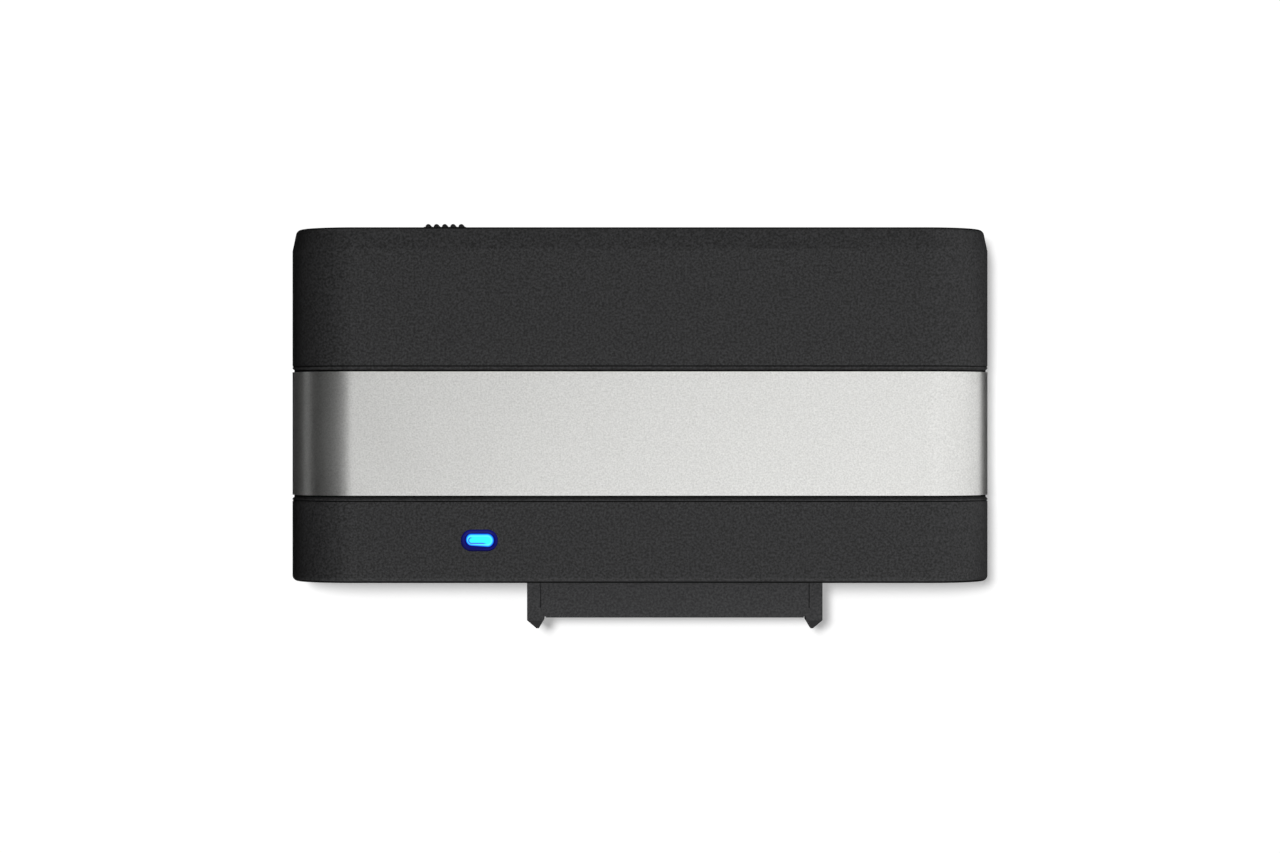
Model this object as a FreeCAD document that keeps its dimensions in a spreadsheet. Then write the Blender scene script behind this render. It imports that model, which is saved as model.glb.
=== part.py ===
"""A drive adapter: a wide rounded case with a serial drive socket in front and its ports behind.

The frame is +X to the right, +Y to the rear and +Z up, in millimetres. The origin is under the
middle of the whole part, on the surface that its four feet stand on. The drive socket points
to -Y, and the switch, the power jack and the data port are in the rear wall.
"""
import FreeCAD, Part
import math
import os

import Sketcher
from FreeCAD import Placement, Rotation, Vector

DOC = FreeCAD.newDocument("DriveAdapter")
SHEET = DOC.addObject("Spreadsheet::Sheet", "Sizes")
ROWS = []


# Numbers that remember where they come from


class Size(float):
    """A length in millimetres that remembers the sheet formula behind it."""

    def __new__(cls, number, formula):
        size = super().__new__(cls, number)
        size.formula = formula
        return size

    def joined(self, number, first, sign, second):
        return Size(number, f"({formula_of(first)} {sign} {formula_of(second)})")

    def __add__(self, other):
        return self.joined(float(self) + float(other), self, "+", other)

    def __radd__(self, other):
        return self.joined(float(other) + float(self), other, "+", self)

    def __sub__(self, other):
        return self.joined(float(self) - float(other), self, "-", other)

    def __rsub__(self, other):
        return self.joined(float(other) - float(self), other, "-", self)

    def __mul__(self, other):
        return self.joined(float(self) * float(other), self, "*", other)

    def __rmul__(self, other):
        return self.joined(float(other) * float(self), other, "*", self)

    def __truediv__(self, other):
        return self.joined(float(self) / float(other), self, "/", other)

    def __neg__(self):
        return Size(-float(self), f"(0 - {self.formula})")


def formula_of(number):
    """The sheet formula of a size, or the digits of a plain number."""
    return number.formula if isinstance(number, Size) else repr(float(number))


def bind(thing, path, number):
    """Ties a property or a constraint to the sheet, where its number comes from there."""
    if isinstance(number, Size):
        thing.setExpression(path, number.formula)


def size(alias, number, note):
    """Writes one driving dimension into the sheet and gives it back as a Size."""
    ROWS.append(alias)
    row = len(ROWS)
    SHEET.set(f"A{row}", alias)
    SHEET.set(f"B{row}", str(number))
    SHEET.set(f"C{row}", note)
    SHEET.setAlias(f"B{row}", alias)
    return Size(number, f"Sizes.{alias}")


# Driving dimensions of the case

case_width = size("case_width", 100.8, "outside, left to right")
case_depth = size("case_depth", 50.8, "outside, front face to rear face")
headroom = size("headroom", 0.4, "top of the data port below the ceiling")
crown_round = size("crown_round", 9.5, "radius of the two long upper edges")
base_round = size("base_round", 4.0, "radius of the two long lower edges")
rim_round = size("rim_round", 0.8, "radius round the front face and round the rear face")
taper_length = size("taper_length", 3.1, "length at the rear that draws in")
taper_inset = size("taper_inset", 0.65, "how far it draws in at the rear face")
wall = size("wall", 2.0, "thickness of the plastic covers")
seam_height = size("seam_height", 10.0, "joint of the two covers, above the case's underside")
tongue_height = size("tongue_height", 1.2, "lip of the lower cover, above the joint")
tongue_thick = size("tongue_thick", 0.6, "thickness of that lip")
seam_line_high = size("seam_line_high", 0.2, "fine groove along the joint of the covers")
seam_line_deep = size("seam_line_deep", 0.14, "depth of that groove")
fit = size("fit", 0.1, "clearance of a moulded piece in its seat")
rib_thick = size("rib_thick", 0.8, "stiffening ribs inside the covers")
rib_high = size("rib_high", 1.0, "how far these ribs stand into the case")
rib_spacing = size("rib_spacing", 8.0, "the two ribs, front to rear, under the band's middle")
port_gap = size("port_gap", 0.3, "clearance round a socket in the wall")
column_width = size("column_width", 5.6, "diameter of the columns that the case screws go through")
post_width = size("post_width", 4.6, "diameter of the posts under the board")
board_level = size("board_level", 4.0, "underside of the board above the case's floor")
board_edge_gap = size("board_edge_gap", 0.8, "front edge of the board to the front wall")
board_rear_gap = size("board_rear_gap", 1.2, "rear edge of the board to the rear wall")
board_side_gap = size("board_side_gap", 2.4, "side edges of the board to the side walls")
board_thick = size("board_thick", 1.6, "thickness of the board")
board_hole = size("board_hole", 2.3, "holes for the board screws")
lead_hole = size("lead_hole", 0.9, "slots for the narrow leads")
lead_end = size("lead_end", 0.8, "leads below the board")

# Driving dimensions of the band and its recess

band_setback = size("band_setback", 12.48, "front face of the case to the band")
band_width = size("band_width", 17.7, "band, front to rear")
band_thick = size("band_thick", 0.6, "aluminium sheet")
band_glue = size("band_glue", 0.05, "adhesive film under the band")
band_gap = size("band_gap", 0.26, "open gap on each side of the band")
band_bevel = size("band_bevel", 0.15, "bright bevel on the band's long edges")
band_toe = size("band_toe", 2.5, "flat toe of the band under the case")
lip_bevel = size("lip_bevel", 0.3, "bevel of the covers beside the gap")
line_setback = size("line_setback", 0.4, "bevel to the fine line beside it")
line_width = size("line_width", 0.16, "fine line in the covers")
line_depth = size("line_depth", 0.3, "depth of that line")

# Driving dimensions of the feet and screws

foot_width = size("foot_width", 8.0, "diameter of a rubber foot")
foot_stand = size("foot_stand", 1.0, "how far a foot stands below the case")
foot_seat = size("foot_seat", 0.4, "depth of its seat in the case")
foot_margin = size("foot_margin", 0.7, "seat to the rounded front edge and to the taper")
foot_bevel = size("foot_bevel", 0.5, "bevelled lower edge of a foot")
screw_inset = size("screw_inset", 12.4, "case screws in from the side faces")
screw_width = size("screw_width", 2.2, "thread of a case screw")
screw_head = size("screw_head", 4.2, "head of a case screw")
screw_head_high = size("screw_head_high", 1.5, "height of that head")
screw_sink = size("screw_sink", 2.0, "head seat above the foot's seat")
screw_reach = size("screw_reach", 15.0, "thread of a case screw, under its head")
screw_slack = size("screw_slack", 0.05, "clearance round a thread")
screw_end_gap = size("screw_end_gap", 1.0, "end of a case screw to the end of its hole")
drive_width = size("drive_width", 0.6, "width of the cross in a screw head")
drive_depth = size("drive_depth", 0.8, "depth of the cross in a screw head")
drive_length = size("drive_length", 2.4, "span of the cross in a screw head")
post_inset = size("post_inset", 9.4, "board screws in from the side faces")
post_front = size("post_front", -8.0, "front pair of board screws")
post_rear = size("post_rear", 12.0, "rear pair of board screws")
board_screw_width = size("board_screw_width", 1.8, "thread of a board screw")
board_screw_head = size("board_screw_head", 3.6, "head of a board screw")
board_screw_high = size("board_screw_high", 1.2, "height of that head")
board_screw_reach = size("board_screw_reach", 4.8, "thread of a board screw, under its head")

# Driving dimensions of the drive socket

plug_across = size("plug_across", 5.05, "middle of the drive socket, right of the case's middle")
plug_width = size("plug_width", 42.9, "over the two guide posts")
plug_height = size("plug_height", 4.9, "height of the nose above the board")
plug_reach = size("plug_reach", 5.4, "nose beyond the front face of the case")
guide_reach = size("guide_reach", 1.6, "guide posts beyond the nose")
guide_width = size("guide_width", 2.4, "guide post, left to right")
guide_bevel = size("guide_bevel", 1.35, "outer bevel at a guide's tip, left to right")
guide_flat = size("guide_flat", 0.35, "blunt end of a guide")
guide_shoulder = size("guide_shoulder", 0.4, "straight part of a guide before its bevels")
guide_top_bevel = size("guide_top_bevel", 0.7, "bevel of a guide's tip, up and down")
guide_notch = size("guide_notch", 0.35, "width of the notch between a guide and the nose")
guide_line_inset = size("guide_line_inset", 0.36, "inner side of a guide to the fine line on it")
guide_line_end = size("guide_line_end", 1.4, "front of the nose to the end of that line")
notch_depth = size("notch_depth", 0.15, "depth of that notch")
shoulder_step = size("shoulder_step", 1.2, "shoulders of the socket behind the front wall")
shoulder_height = size("shoulder_height", 5.6, "height of the socket behind the front wall")
plug_depth = size("plug_depth", 14.0, "socket from its nose to its rear")
peg_width = size("peg_width", 1.6, "locating pegs in the board")
peg_across = size("peg_across", 20.0, "locating pegs from the socket's middle")
slot_depth = size("slot_depth", 6.6, "depth of the two slots")
slot_high = size("slot_high", 1.4, "height of a slot")
slot_level = size("slot_level", 2.3, "lower side of a slot above the board")
slot_key = size("slot_key", 1.3, "drop of the key at a slot's end")
signal_width = size("signal_width", 10.5, "slot for the seven signal contacts")
signal_across = size("signal_across", -11.5, "middle of that slot from the socket's middle")
power_width = size("power_width", 20.7, "slot for the fifteen power contacts")
power_across = size("power_across", 6.4, "middle of that slot from the socket's middle")
contact_pitch = size("contact_pitch", 1.27, "spacing of the contacts")
contact_width = size("contact_width", 0.6, "width of a contact")
contact_thick = size("contact_thick", 0.25, "thickness of a contact")
contact_tail = size("contact_tail", 1.5, "solder foot of a contact behind the socket")
channel_depth = size("channel_depth", 1.1, "channels under the slots")

# Driving dimensions of the data port

data_across = size("data_across", 14.0, "middle of the data port")
data_width = size("data_width", 12.0, "outside of its steel shell")
data_height = size("data_height", 12.0, "outside of its steel shell")
data_depth = size("data_depth", 18.0, "outside of its steel shell")
shell_thick = size("shell_thick", 0.3, "steel sheet")
port_recess = size("port_recess", 0.3, "faces of the ports behind the rear face of the case")
mouth_depth = size("mouth_depth", 12.0, "depth of the data port's mouth")
mouth_width = size("mouth_width", 8.45, "lower part of the mouth")
mouth_high = size("mouth_high", 6.8, "lower part of the mouth")
mouth_slope = size("mouth_slope", 1.4, "sloped corners of the lower part")
hat_high = size("hat_high", 3.0, "upper part of the mouth")
tongue_wide = size("tongue_wide", 5.6, "lower tongue in the mouth")
tongue_high = size("tongue_high", 3.1, "lower tongue in the mouth")
blade_wide = size("blade_wide", 4.2, "upper tongue in the mouth")
blade_high = size("blade_high", 1.0, "upper tongue in the mouth")
tongue_setback = size("tongue_setback", 1.4, "tongues behind the port's face")
strip_width = size("strip_width", 0.7, "lower contacts")
strip_pitch = size("strip_pitch", 2.5, "spacing of the lower contacts")
fine_strip = size("fine_strip", 0.4, "upper contacts")
fine_pitch = size("fine_pitch", 0.8, "spacing of the upper contacts")
strip_thick = size("strip_thick", 0.2, "thickness of these contacts")

# Driving dimensions of the power jack

jack_across = size("jack_across", -10.0, "middle of the power jack")
jack_width = size("jack_width", 9.0, "body of the jack")
jack_height = size("jack_height", 11.0, "body of the jack")
jack_depth = size("jack_depth", 14.0, "body of the jack")
jack_axis = size("jack_axis", 6.5, "axis of the jack above the board")
jack_flange = size("jack_flange", 3.4, "square front of the jack")
jack_bore = size("jack_bore", 6.4, "hole for the barrel plug")
jack_bore_depth = size("jack_bore_depth", 9.5, "depth of that hole")
pin_width = size("pin_width", 2.0, "centre pin of the jack")
pin_setback = size("pin_setback", 1.0, "end of the pin behind the jack's face")
pin_bevel = size("pin_bevel", 0.5, "bevelled end of the pin")
pin_shank = size("pin_shank", 2.6, "thicker part of the pin, pressed in the jack's body")
blade_thick = size("blade_thick", 0.3, "sheet of the terminals")
blade_width = size("blade_width", 2.4, "width of the terminals")

# Driving dimensions of the slide switch

knob_inset = size("knob_inset", 22.0, "knob at rest, in from the left side face")
knob_travel = size("knob_travel", 2.5, "travel of the knob")
knob_width = size("knob_width", 6.1, "knob, left to right")
knob_height = size("knob_height", 3.0, "knob, up and down")
knob_reach = size("knob_reach", 1.0, "ribs of the knob beyond the rear face")
knob_rib = size("knob_rib", 0.8, "width of a rib")
knob_rib_high = size("knob_rib_high", 0.4, "height of a rib")
knob_rib_pitch = size("knob_rib_pitch", 1.2, "spacing of the ribs")
knob_plate = size("knob_plate", 0.7, "thickness of the knob's guide plate")
knob_gap = size("knob_gap", 0.25, "clearance round the knob and behind the wall")
plate_overlap = size("plate_overlap", 0.7, "guide plate past the slot, up and down")
switch_width = size("switch_width", 10.0, "steel frame of the switch")
switch_depth = size("switch_depth", 4.0, "steel frame of the switch")
switch_height = size("switch_height", 4.6, "steel frame of the switch")
switch_setback = size("switch_setback", 0.5, "frame's face in front of the board's rear edge")
stem_width = size("stem_width", 2.0, "square stem between switch and knob")
base_thick = size("base_thick", 1.2, "laminate base of the switch")
slider_width = size("slider_width", 4.4, "slider inside the switch")
tab_width = size("tab_width", 1.2, "legs of the switch frame")
terminal_width = size("terminal_width", 0.6, "tails of the switch's terminals")

# Driving dimensions of the lamp

lamp_across = size("lamp_across", -22.9, "middle of the lamp")
lamp_setback = size("lamp_setback", 6.1, "middle of the lamp behind the front face")
window_width = size("window_width", 5.3, "opening in the cover")
window_length = size("window_length", 3.1, "opening in the cover")
lens_width = size("lens_width", 4.2, "raised middle of the lens")
lens_length = size("lens_length", 1.9, "raised middle of the lens")
lens_sink = size("lens_sink", 0.12, "top of the lens below the cover's surface")
lens_step = size("lens_step", 0.25, "rim of the lens below its middle")
lens_flange = size("lens_flange", 0.8, "thickness of the lens's flange")
lens_flange_edge = size("lens_flange_edge", 0.9, "flange past the opening")
lens_stem_gap = size("lens_stem_gap", 0.3, "end of the lens above the lamp")
collar_thick = size("collar_thick", 0.6, "collar of the cover round the lens's flange")
collar_high = size("collar_high", 1.3, "how far that collar stands down")
lamp_height = size("lamp_height", 1.1, "height of the lamp on the board")
lamp_width = size("lamp_width", 3.4, "base of the lamp, left to right")
lamp_length = size("lamp_length", 1.5, "base of the lamp, front to rear")
lamp_dome = size("lamp_dome", 2.1, "clear part of the lamp, left to right")

# Driving dimensions of the electronics

chip_stand = size("chip_stand", 0.15, "leaded chips above the board")
chip_high = size("chip_high", 1.5, "height of a leaded chip's package")
chip_lead_thick = size("chip_lead_thick", 0.2, "sheet of a chip's leads")
chip_lead_width = size("chip_lead_width", 0.42, "width of a chip's leads")
chip_lead_reach = size("chip_lead_reach", 1.05, "leads beyond the package")
chip_wide = size("chip_wide", 3.9, "leaded chips, left to right")
chip_lead_shoulder = size("chip_lead_shoulder", 0.4, "flat top of a lead beside the package")
chip_lead_foot = size("chip_lead_foot", 0.45, "flat end of a lead on the board")
chip_long = size("chip_long", 4.9, "leaded chips, front to rear")
bridge_width = size("bridge_width", 8.0, "bridge chip, each way")
bridge_high = size("bridge_high", 0.85, "height of the bridge chip")
bridge_place = size("bridge_place", -1.5, "bridge chip and crystal, front to rear")
memory_across = size("memory_across", 20.0, "memory chip, from the middle")
memory_place = size("memory_place", 1.0, "memory chip, front to rear")
crystal_across = size("crystal_across", -6.0, "clock crystal, from the middle")
crystal_width = size("crystal_width", 4.7, "clock crystal, left to right")
crystal_length = size("crystal_length", 11.4, "clock crystal, front to rear")
crystal_high = size("crystal_high", 3.8, "height of the clock crystal")
coil_across = size("coil_across", -28.0, "coil, from the middle")
coil_place = size("coil_place", -4.0, "coil, front to rear")
coil_width = size("coil_width", 7.3, "coil, each way")
coil_high = size("coil_high", 4.5, "height of the coil")
coil_corner = size("coil_corner", 1.5, "rounded corners of the coil's case")
coil_drum = size("coil_drum", 4.7, "diameter of the drum inside the case")
coil_groove = size("coil_groove", 0.55, "width of the groove round the drum")
coil_groove_deep = size("coil_groove_deep", 0.4, "depth of that groove")
converter_across = size("converter_across", -28.0, "voltage converter, from the middle")
converter_place = size("converter_place", 6.0, "voltage converter, front to rear")
can_across = size("can_across", -18.0, "electrolytic cans, from the middle")
can_place = size("can_place", -3.0, "first electrolytic can, front to rear")
can_width = size("can_width", 6.3, "diameter of an electrolytic can")
can_high = size("can_high", 7.7, "height of an electrolytic can")
can_seat = size("can_seat", 1.2, "plastic base under a can")
can_bevel = size("can_bevel", 0.4, "edge of a can's top")
can_corner = size("can_corner", 1.1, "cut corners of a can's base")
diode_inset = size("diode_inset", 10.0, "left end of the board to the rectifier")
diode_place = size("diode_place", 3.0, "rectifier, front to rear")
diode_length = size("diode_length", 4.3, "rectifier, left to right")
diode_width = size("diode_width", 2.6, "rectifier, front to rear")
diode_high = size("diode_high", 2.2, "height of the rectifier")
bead_width = size("bead_width", 0.8, "small capacitors, left to right")
bead_length = size("bead_length", 1.6, "small capacitors, front to rear")
bead_high = size("bead_high", 0.8, "height of the small capacitors")
bead_pitch = size("bead_pitch", 1.9, "spacing of the small capacitors")
chip_row_gap = size("chip_row_gap", 1.6, "bridge chip to the rows of small parts")
resistor_high = size("resistor_high", 0.45, "height of the small resistors")

# Counts, and shares of a length

SIGNAL_ROW = 7
POWER_ROW = 15
CHIP_SIDE = 4
SMALL_PARTS = 6
BOW_SHARE = 0.3
LEG_SHARES = (0.3, 0.75)

# Places that follow from them. The part's length runs from the guides' tips to the knob's ribs.

case_height = wall * 2 + board_level + board_thick + data_height + headroom
case_front = (plug_reach + guide_reach - knob_reach - case_depth) / 2
case_rear = case_front + case_depth
case_bottom = foot_stand
case_top = case_bottom + case_height
side = case_width / 2
seam = case_bottom + seam_height
floor_top = case_bottom + wall
ceiling = case_top - wall
taper_front = case_rear - taper_length
wall_front = case_front + wall
wall_rear = case_rear - wall
wall_side = side - wall
board_bottom = floor_top + board_level
board_top = board_bottom + board_thick
board_width = (wall_side - board_side_gap) * 2
diode_across = diode_inset - board_width / 2
board_front = wall_front + board_edge_gap
board_rear = wall_rear - board_rear_gap
band_front = case_front + band_setback
band_rear = band_front + band_width
recess_depth = band_thick + band_glue
screw_across = side - screw_inset
post_across = side - post_inset
screw_front = case_front + rim_round + foot_margin + foot_width / 2
screw_rear = taper_front - foot_margin - foot_width / 2
screw_seat = case_bottom + foot_seat + screw_sink
lead_low = -(board_thick + lead_end)
ports_face = case_rear - port_recess
lamp_place = case_front + lamp_setback
flange_wide = window_width + lens_flange_edge * 2
flange_long = window_length + lens_flange_edge * 2
knob_across = knob_inset - side
switch_across = knob_across + knob_travel / 2
knob_level = board_top + switch_height / 2
switch_face = board_rear - switch_setback
slot_half = (knob_width + knob_travel) / 2 + knob_gap


# Sketching and building


def plane_of(body, role):
    """One of a body's own origin planes or axes."""
    return next(feature for feature in body.Origin.OriginFeatures if feature.Role == role)


def rectangle(left, right, low, high):
    """The corners of a rectangle."""
    return [(left, low), (right, low), (right, high), (left, high)]


def centred(x, y, width, length):
    """The corners of a rectangle round a place."""
    return rectangle(x - width / 2, x + width / 2, y - length / 2, y + length / 2)


def rounded(left, right, low, high, radius):
    """The corners of a rectangle with rounded corners."""
    return [
        (left + radius, low, left + radius, low + radius),
        (right - radius, low),
        (right, low + radius, right - radius, low + radius),
        (right, high - radius),
        (right - radius, high, right - radius, high - radius),
        (left + radius, high),
        (left, high - radius, left + radius, high - radius),
        (left, low + radius),
    ]


def fix(sketch, kind, number, *where):
    """Adds one constraint with a value, tied to the sheet."""
    index = sketch.addConstraint(Sketcher.Constraint(kind, *where, float(number)))
    bind(sketch, f"Constraints[{index}]", number)


def draw_circle(sketch, x, y, diameter):
    """Draws a full circle, held by its centre and its diameter."""
    circle = Part.Circle(Vector(x, y, 0), Vector(0, 0, 1), diameter / 2)
    edge = sketch.addGeometry(circle, False)
    fix(sketch, "DistanceX", x, -1, 1, edge, 3)
    fix(sketch, "DistanceY", y, -1, 1, edge, 3)
    fix(sketch, "Diameter", diameter, edge)


def add_edge(sketch, start, end):
    """Adds the line or arc that ends at a corner, and names its two end points."""
    first = Vector(start[0], start[1], 0)
    last = Vector(end[0], end[1], 0)
    if len(end) == 2:
        return sketch.addGeometry(Part.LineSegment(first, last), False), 1, 2
    centre = Vector(end[2], end[3], 0)
    spoke = first - centre
    other = last - centre
    from_angle = math.atan2(spoke.y, spoke.x)
    to_angle = math.atan2(other.y, other.x)
    circle = Part.Circle(centre, Vector(0, 0, 1), spoke.Length)
    if spoke.cross(other).z > 0:
        return sketch.addGeometry(Part.ArcOfCircle(circle, from_angle, to_angle), False), 1, 2
    return sketch.addGeometry(Part.ArcOfCircle(circle, to_angle, from_angle), False), 2, 1


def draw_outline(sketch, corners):
    """Draws a closed outline. A corner is (x, y), or (x, y, cx, cy) where an arc ends.

    Each corner is measured from the origin, or is level with the one before it.
    """
    edges = [add_edge(sketch, corners[i - 1], corners[i]) for i in range(len(corners))]
    for i, (edge, _, end) in enumerate(edges):
        following, start, _ = edges[(i + 1) % len(edges)]
        sketch.addConstraint(Sketcher.Constraint("Coincident", edge, end, following, start))
    for i, corner in enumerate(corners):
        edge, _, end = edges[i]
        before = corners[i - 1]
        straight = len(corner) == 2 and i > 0
        if straight and formula_of(corner[0]) == formula_of(before[0]):
            sketch.addConstraint(Sketcher.Constraint("Vertical", edge))
        else:
            fix(sketch, "DistanceX", corner[0], -1, 1, edge, end)
        if straight and formula_of(corner[1]) == formula_of(before[1]):
            sketch.addConstraint(Sketcher.Constraint("Horizontal", edge))
        else:
            fix(sketch, "DistanceY", corner[1], -1, 1, edge, end)
        if len(corner) == 4:
            wide = abs(corner[0] - before[0]) > abs(corner[1] - before[1])
            kind, number = ("DistanceY", corner[3]) if wide else ("DistanceX", corner[2])
            fix(sketch, kind, number, -1, 1, edge, 3)


def sketch_on(body, name, plane, at, outlines):
    """A sketch on one of the body's planes, moved along it to a place, with its outlines."""
    sketch = body.newObject("Sketcher::SketchObject", name)
    sketch.AttachmentSupport = [(plane_of(body, f"{plane}_Plane"), "")]
    sketch.MapMode = "FlatFace"
    offset = 0.0 - at if plane == "XZ" else at
    sketch.AttachmentOffset = Placement(Vector(0, 0, float(offset)), Rotation())
    bind(sketch, "AttachmentOffset.Base.z", offset)
    for outline in outlines:
        if isinstance(outline, tuple):
            draw_circle(sketch, *outline)
        else:
            draw_outline(sketch, outline)
    return sketch


def feature(body, kind, name, plane, start, end, outlines):
    """A pad or a pocket from one place to another along the plane's axis."""
    sketch = sketch_on(body, name + "Sketch", plane, start, outlines)
    thing = body.newObject(f"PartDesign::{kind}", name)
    thing.Profile = (sketch, [""])
    thing.Length = float(end - start)
    bind(thing, "Length", end - start)
    thing.Reversed = (plane == "XZ") == (kind == "Pad")
    return thing


def pad(body, name, plane, start, end, *outlines):
    """Adds material between two places along the plane's axis."""
    return feature(body, "Pad", name, plane, start, end, outlines)


def cut(body, name, plane, start, end, *outlines):
    """Takes material away between two places along the plane's axis, and makes sure of it."""
    DOC.recompute()
    before = body.Shape.Volume
    thing = feature(body, "Pocket", name, plane, start, end, outlines)
    DOC.recompute()
    if not body.Shape.Volume < before - 1e-6:
        raise RuntimeError(f"{body.Label}: {name} cuts nothing")
    return thing


def repeat(body, name, features, axis, pitch, count):
    """Repeats features in a row along one of the body's axes."""
    row = body.newObject("PartDesign::LinearPattern", name)
    row.Originals = features
    row.Direction = (plane_of(body, f"{axis}_Axis"), [""])
    row.Length = float(pitch * (count - 1))
    bind(row, "Length", pitch * (count - 1))
    row.Occurrences = count
    body.Tip = row
    return row


def mirror(body, name, features, plane):
    """Mirrors features across one of the body's own planes."""
    twin = body.newObject("PartDesign::Mirrored", name)
    twin.Originals = features
    twin.MirrorPlane = (plane_of(body, f"{plane}_Plane"), [""])
    body.Tip = twin
    return twin


def dress(body, kind, name, amount, chosen):
    """Rounds or bevels the edges that a test picks."""
    DOC.recompute()
    base = body.Tip
    names = [f"Edge{i}" for i, edge in enumerate(base.Shape.Edges, 1) if chosen(edge)]
    if not names:
        raise RuntimeError(f"{body.Label}: {name} finds no edge")
    thing = body.newObject(f"PartDesign::{kind}", name)
    thing.Base = (base, names)
    path = "Radius" if kind == "Fillet" else "Size"
    setattr(thing, path, float(amount))
    bind(thing, path, amount)
    return thing


def new_body(label, x=0.0, y=0.0, z=0.0):
    """A body with its own frame at a place in the part."""
    body = DOC.addObject("PartDesign::Body", label)
    body.Label = label
    body.Placement = Placement(Vector(float(x), float(y), float(z)), Rotation())
    for axis, number in (("x", x), ("y", y), ("z", z)):
        bind(body, f"Placement.Base.{axis}", number)
    return body


def near(first, second):
    return abs(float(first) - float(second)) < 1e-4


def flat_at(edge, axis, place):
    """Whether an edge lies in the plane where one coordinate has one value."""
    box = edge.BoundBox
    return near(getattr(box, f"{axis}Min"), place) and near(getattr(box, f"{axis}Max"), place)


# The case's section


def crown_outline(inset, low):
    """The upper part of the case's section, drawn in by an inset, down to a height."""
    edge = side - inset
    top = case_top - inset
    radius = crown_round - inset
    return [
        (-edge, low),
        (edge, low),
        (edge, top - radius),
        (edge - radius, top, edge - radius, top - radius),
        (radius - edge, top),
        (-edge, top - radius, radius - edge, top - radius),
    ]


def base_outline(inset, high):
    """The lower part of the case's section, drawn in by an inset, up to a height."""
    edge = side - inset
    low = case_bottom + inset
    radius = base_round - inset
    return [
        (edge, high),
        (-edge, high),
        (-edge, low + radius),
        (radius - edge, low, radius - edge, low + radius),
        (edge - radius, low),
        (edge, low + radius, edge - radius, low + radius),
    ]


def depth_in_section(point):
    """How deep a point lies inside the case's outside surface, seen from the front."""
    x = abs(point.x)
    upper = point.z > case_top - crown_round
    radius = crown_round if upper else base_round
    level = case_top - crown_round if upper else case_bottom + base_round
    beyond = point.z - level if upper else level - point.z
    if x > side - radius and beyond > 0:
        return radius - math.hypot(x - (side - radius), beyond)
    return min(side - x, case_top - point.z, point.z - case_bottom)


def on_surface(edge):
    """Whether an edge lies in the case's outside surface."""
    middle = edge.valueAt((edge.FirstParameter + edge.LastParameter) / 2)
    ends = [vertex.Point for vertex in edge.Vertexes]
    return all(abs(depth_in_section(point)) < 1e-3 for point in [middle, *ends])


def lip_edges(edge):
    """The covers' edges beside the two gaps of the band."""
    places = (band_front - band_gap, band_rear + band_gap)
    return any(flat_at(edge, "Y", place) for place in places) and on_surface(edge)


def end_edges(cover_seam):
    """A test for the edges round the front and rear faces, apart from the joint's own."""

    def chosen(edge):
        at_front = flat_at(edge, "Y", case_front)
        at_rear = flat_at(edge, "Y", case_rear)
        return (at_front or at_rear) and not flat_at(edge, "Z", cover_seam)

    return chosen


def hull(body, outline, level):
    """A cover's solid: its section drawn out, and the tapered end that draws in."""
    pad(body, "Section", "XZ", case_front, taper_front, outline(0.0, level))
    start = sketch_on(body, "TaperStart", "XZ", taper_front, [outline(0.0, level)])
    end = sketch_on(body, "TaperEnd", "XZ", case_rear, [outline(taper_inset, level)])
    DOC.recompute()
    taper = body.newObject("PartDesign::AdditiveLoft", "Taper")
    taper.Profile = (start, [""])
    taper.Sections = [(end, [""])]
    taper.Ruled = True
    dress(body, "Fillet", "Rims", rim_round, end_edges(level))


def plan_outline(depth):
    """The case's outline at the joint, seen from above and drawn in by a depth."""
    edge = side - depth
    front = case_front + depth
    radius = rim_round - depth
    rear_edge = side - taper_inset - depth
    rear = case_rear - depth
    return [
        (-edge, taper_front),
        (-edge, front + radius),
        (radius - edge, front, radius - edge, front + radius),
        (edge - radius, front),
        (edge, front + radius, edge - radius, front + radius),
        (edge, taper_front),
        (rear_edge, rear - radius),
        (rear_edge - radius, rear),
        (radius - rear_edge, rear),
        (-rear_edge, rear - radius),
    ]


def stiffening_ribs(start, end):
    """The two long ribs inside a cover, as (start, end) of a pad and their outlines."""
    middle = band_front + band_width / 2
    half = side - crown_round
    places = [middle - rib_spacing / 2, middle + rib_spacing / 2]
    return start, end, *[centred(0.0, y, half * 2, rib_thick) for y in places]


def line_places():
    """The two fine lines beside the gaps, each as its front and its rear edge."""
    reach = band_gap + lip_bevel + line_setback
    front = band_front - reach
    rear = band_rear + reach
    return [(front - line_width, front), (rear, rear + line_width)]


def ring(outline, depth, level, beyond):
    """Everything outside the section drawn in by a depth: the two outlines of a ring cut."""
    outside = rectangle(-side - wall, side + wall, level, beyond)
    return [outside, outline(depth, level)]


# The covers and the band


def port_windows():
    """The openings of the walls, as (wall, left, right, low, high)."""
    shoulder = plug_width / 2 + port_gap
    low = board_top - port_gap
    return {
        "PlugWindow": (
            "front",
            rectangle(
                plug_across - shoulder,
                plug_across + shoulder,
                low,
                board_top + plug_height + port_gap,
            ),
        ),
        "DataWindow": (
            "rear",
            rectangle(
                data_across - data_width / 2 - port_gap,
                data_across + data_width / 2 + port_gap,
                low,
                board_top + data_height + port_gap,
            ),
        ),
        "JackWindow": (
            "rear",
            rectangle(
                jack_across - jack_width / 2 - port_gap,
                jack_across + jack_width / 2 + port_gap,
                low,
                board_top + jack_height + port_gap,
            ),
        ),
        "KnobWindow": (
            "rear",
            rectangle(
                switch_across - slot_half,
                switch_across + slot_half,
                knob_level - knob_height / 2 - knob_gap,
                knob_level + knob_height / 2 + knob_gap,
            ),
        ),
    }


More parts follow.
